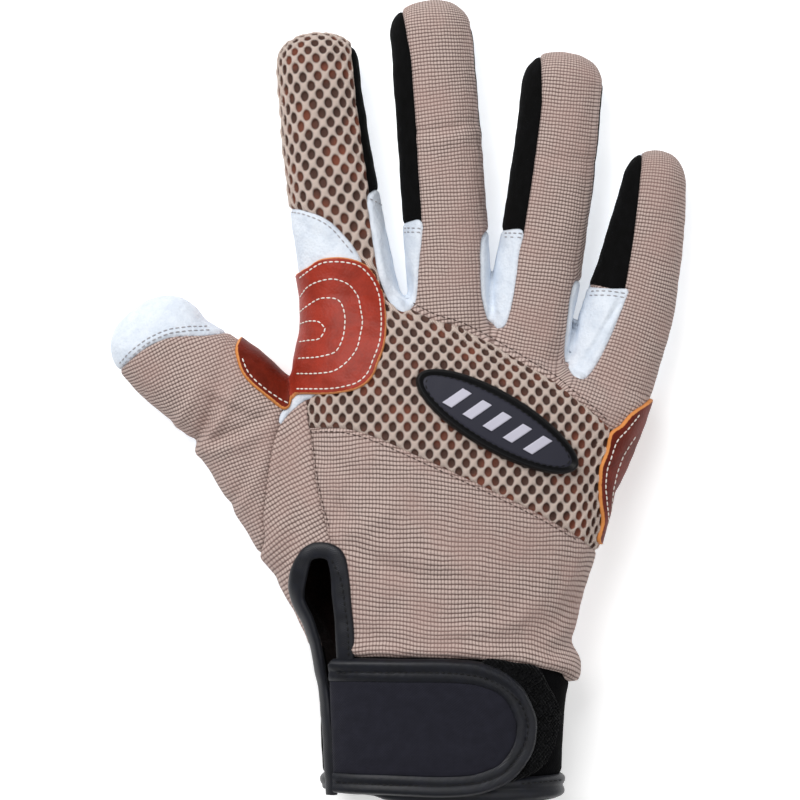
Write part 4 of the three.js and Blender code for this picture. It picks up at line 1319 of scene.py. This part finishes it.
dense = spline(slit_path[::4], 10)
slit_points, slit_normals = top_of(dense, 0.2)
share = np.linspace(0, 1, len(dense))
wobble = 0.2 * np.sin(share * 47) * np.sin(share * 31 + 1)
widths = np.interp(share, [0, 0.45, 0.56, 0.62, 0.68, 0.76, 1], [4.2, 5.4, 6.0, 4.8, 5.0, 5.8, 5.8]) + wobble
binding = sweep("slit_binding_sewn", slit_points, widths, 2.6, black_binding, slit_normals)
finish_piece(binding, ["slit_binding"])


# Stitches
# Cotton thread along every sewn row: white on the brown leather, grey on the white leather, dark on the
# cloth. One set of nodes lays short rounded stitches along each line on the glove.
def stitch_nodes():
    """Nodes that lay stitches along a curve: their spacing, length and radius are inputs."""
    group = bpy.data.node_groups.new("stitch_row", "GeometryNodeTree")
    face = group.interface
    face.new_socket("Geometry", in_out="INPUT", socket_type="NodeSocketGeometry")
    face.new_socket("Geometry", in_out="OUTPUT", socket_type="NodeSocketGeometry")
    for label, value in (("Spacing", 0.0025), ("Length", 0.0019), ("Radius", 0.0003)):
        face.new_socket(label, in_out="INPUT", socket_type="NodeSocketFloat").default_value = value
    face.new_socket("Material", in_out="INPUT", socket_type="NodeSocketMaterial")
    given = group.nodes.new("NodeGroupInput").outputs

    def add(kind, sockets, **settings):
        return add_node(group, kind, sockets, settings).outputs

    points = add(
        "GeometryNodeCurveToPoints", {"Curve": given["Geometry"], "Length": given["Spacing"]}, mode="LENGTH"
    )
    bead = add("GeometryNodeMeshUVSphere", {"Segments": 6, "Rings": 5, "Radius": 1.0})
    half = add("ShaderNodeMath", {0: given["Length"], 1: 0.5}, operation="MULTIPLY")
    size = add("ShaderNodeCombineXYZ", {0: given["Radius"], 1: given["Radius"], 2: half[0]})
    placed = add(
        "GeometryNodeInstanceOnPoints",
        {
            "Points": points["Points"],
            "Instance": bead["Mesh"],
            "Rotation": points["Rotation"],
            "Scale": size[0],
        },
    )
    real = add("GeometryNodeRealizeInstances", {0: placed[0]})
    painted = add("GeometryNodeSetMaterial", {"Geometry": real[0], "Material": given["Material"]})
    add("NodeGroupOutput", {0: painted[0]})
    return group


stitch_group = stitch_nodes()


def stitches(name, rows, material, spacing=2.6, length=2.0, radius=0.27):
    """Stitches along rows of points, as one mesh."""
    curve = bpy.data.curves.new(name + "_rows", "CURVE")
    curve.dimensions = "3D"
    for row in rows:
        line = curve.splines.new("POLY")
        line.points.add(len(row) - 1)
        places = (row + PLAN_ZERO) * MM
        line.points.foreach_set("co", np.column_stack([places, np.ones(len(row))]).ravel())
    rows_object = bpy.data.objects.new(name + "_rows", curve)
    bpy.context.scene.collection.objects.link(rows_object)
    modifier = rows_object.modifiers.new("stitch_row", "NODES")
    modifier.node_group = stitch_group
    values = {"Spacing": spacing * MM, "Length": length * MM, "Radius": radius * MM, "Material": material}
    for item in stitch_group.interface.items_tree:
        if item.in_out == "INPUT" and item.name in values:
            modifier[item.identifier] = values[item.name]
    bpy.context.view_layer.update()
    graph = bpy.context.evaluated_depsgraph_get()
    mesh = bpy.data.meshes.new_from_object(rows_object.evaluated_get(graph))
    mesh.name = name
    bpy.data.objects.remove(rows_object)
    made = bpy.data.objects.new(name, mesh)
    bpy.context.scene.collection.objects.link(made)
    mesh.polygons.foreach_set("use_smooth", np.ones(len(mesh.polygons), bool))
    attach(made, "root")
    return made


def row(*pixels, lift=0.15):
    """A line on the glove through places in the photograph, without what lies on its underside."""
    places = spline([at(x, y) for x, y in pixels], 6)
    points, normals = top_of(places, lift)
    return points[normals[:, 2] > 0.12]


# Waxed thread: matt, with the faint unevenness of leather.
thread_white = leather("thread_white", "#F2EDE6", "#E2DACF", 0.6)
thread_grey = leather("thread_grey", "#B4B2B6", "#9D9BA0", 0.6)
thread_black = leather("thread_black", "#08080A", "#101013", 0.5)
thread_dark = leather("thread_dark", "#4E3A34", "#3C2C28", 0.7)
patch_lift = PATCH_LIFT + PATCH + 0.05
stitches(
    "patch_stitches",
    [
        row((304, 277), (321, 265), (337, 263), (352, 265), (361, 269), (369, 278), (374, 287), (378, 300),
            (381, 318), (381, 335), (379, 347), (374, 360), (368, 374), (358, 383), (345, 387), (329, 389),
            (302, 389), lift=patch_lift),
        row((304, 296), (311, 287), (321, 282), (334, 280), (346, 284), (353, 290), (358, 299), (361, 312),
            (363, 324), (361, 338), (358, 350), (352, 359), (344, 367), (335, 372), (321, 374), (302, 374),
            lift=patch_lift),
        row((304, 312), (311, 306), (321, 300), (330, 299), (338, 301), (343, 307), (346, 318), (346, 330),
            (344, 341), (340, 350), (334, 355), (321, 358), (303, 359), lift=patch_lift),
        row((305, 324), (312, 322), (321, 323), (326, 328), (327, 332), (324, 338), (320, 341), (311, 342),
            (304, 343), lift=patch_lift),
        row((243, 362), (248, 373), (256, 382), (268, 392), (280, 400), (286, 403), lift=patch_lift),
        row((632, 415), (622, 427), (611, 439), (606, 452), (601, 468), (600, 484), (601, 500), (602, 520),
            lift=patch_lift),
        row((628, 436), (618, 452), (611, 472), (607, 490), (605, 510), lift=patch_lift),
    ],
    thread_white, 1.8, 1.5, 0.26,
)
stitches(
    "leather_stitches",
    [
        row((122, 367), (136, 354), (152, 342), (170, 334), (187, 331), (208, 330)),
        row((121, 362), (135, 349), (151, 338), (169, 330), (187, 327), (206, 326)),
        row((292, 212), (304, 215), (319, 221), (331, 229), (341, 240), (351, 252)),
        row((505, 233), (519, 234)),
        row((505, 237), (518, 238)),
        row((405, 228), (418, 229)),
        row((405, 232), (418, 233)),
        row((371, 200), (382, 205)),
        row((592, 291), (606, 291), (621, 293)),
        row((590, 295), (605, 295), (620, 297)),
    ],
    thread_grey, 1.9, 1.4, 0.2,
)
stitches(
    "panel_stitches",
    [
        row((308, 402), (309, 420), (313, 437), (317, 469), (322, 495), (329, 522)),
        row((312, 431), (340, 431), (372, 439), (418, 459), (457, 477), (495, 495), (533, 514), (571, 536)),
        row((414, 304), (435, 315), (461, 323), (488, 337), (511, 350), (530, 363), (553, 376), (572, 392),
            (588, 405), (601, 417)),
    ],
    thread_dark, 1.8, 1.3, 0.16,
)
strap_lift = STRAP_LIFT + 0.5
stitches(
    "strap_stitches",
    [
        row((342, 665), (380, 665), (441, 665), (478, 669), (498, 679), (514, 694), (522, 713), (522, 730),
            (514, 748), (500, 765), (478, 774), (441, 777), (411, 777), (342, 776), lift=strap_lift),
        row((334, 558), (342, 575), (346, 600), (349, 625), (350, 648), lift=1.55),
        row((556, 776), (540, 776), (520, 777), lift=0.9),
    ],
    thread_black, 1.9, 1.4, 0.27,
)
BADGE_TIP = 3.4
groove_turn = np.linspace(0, 2 * math.pi, 97)
groove = np.column_stack(
    [
        (BADGE_LENGTH / 2 - BADGE_TIP) * np.cos(groove_turn),
        (BADGE_WIDTH / 2 - BADGE_RIM) * np.sin(groove_turn),
    ]
)
turn = np.array(
    [[math.cos(BADGE_TURN), math.sin(BADGE_TURN)], [-math.sin(BADGE_TURN), math.cos(BADGE_TURN)]]
)
stitches("badge_stitches", [top_of(groove @ turn + BADGE_MIDDLE, 2.3)[0]], thread_black, 2.0, 1.4, 0.24)

# Studio
# A pale floor that goes over into the backdrop, with broad soft lights, one of them stronger and low from
# the upper left. The camera looks straight down, from where the photograph's frame fits the glove at its
# widest height.
SILHOUETTE_HEIGHT = 0.012
PHOTO_PIXELS = 800
FLOOR_LEVEL = -0.0002
FLOOR_REACH = 3.0
floor_mesh = bpy.data.meshes.new("floor")
floor_mesh.from_pydata(
    [(x * FLOOR_REACH, y * FLOOR_REACH, FLOOR_LEVEL) for x, y in ((-1, -1), (1, -1), (1, 1), (-1, 1))],
    [],
    [(0, 1, 2, 3)],
)
floor = bpy.data.objects.new("floor", floor_mesh)
bpy.context.scene.collection.objects.link(floor)
paper = Surface("paper", 0.9)
paper.shader.inputs["Base Color"].default_value = linear("#FFFFFF")
paper.shader.inputs["Emission Color"].default_value = linear("#FFFFFF")
paper.shader.inputs["Emission Strength"].default_value = 0.35
floor_mesh.materials.append(paper.material)


def area_light(name, place, size, power):
    """A square light that looks at the glove."""
    lamp = bpy.data.lights.new(name, "AREA")
    lamp.size = size
    lamp.energy = power
    made = bpy.data.objects.new(name, lamp)
    made.location = place
    made.rotation_euler = (Vector((0, 0, 0)) - Vector(place)).to_track_quat("-Z", "Y").to_euler()
    bpy.context.scene.collection.objects.link(made)
    return made


area_light("key", (-0.5, 0.7, 1.05), 0.9, 14.6)
area_light("fill", (0.6, -0.2, 1.2), 1.0, 3.4)
world = bpy.data.worlds.new("studio")
world.use_nodes = True
world.node_tree.nodes["Background"].inputs["Color"].default_value = (1, 1, 1, 1)
world.node_tree.nodes["Background"].inputs["Strength"].default_value = 0.33
bpy.context.scene.world = world
bpy.context.scene.view_settings.view_transform = "Standard"

camera_data = bpy.data.cameras.new("camera")
camera_data.lens = 150
camera_data.sensor_width = 36
camera = bpy.data.objects.new("camera", camera_data)
half_angle = math.atan(camera_data.sensor_width / 2 / camera_data.lens)
PHOTO_HEIGHT = PHOTO_PIXELS * PHOTO_MM * MM
camera.location = (*(PLAN_ZERO[:2] * MM), SILHOUETTE_HEIGHT + PHOTO_HEIGHT / 2 / math.tan(half_angle))
bpy.context.scene.collection.objects.link(camera)
bpy.context.scene.camera = camera
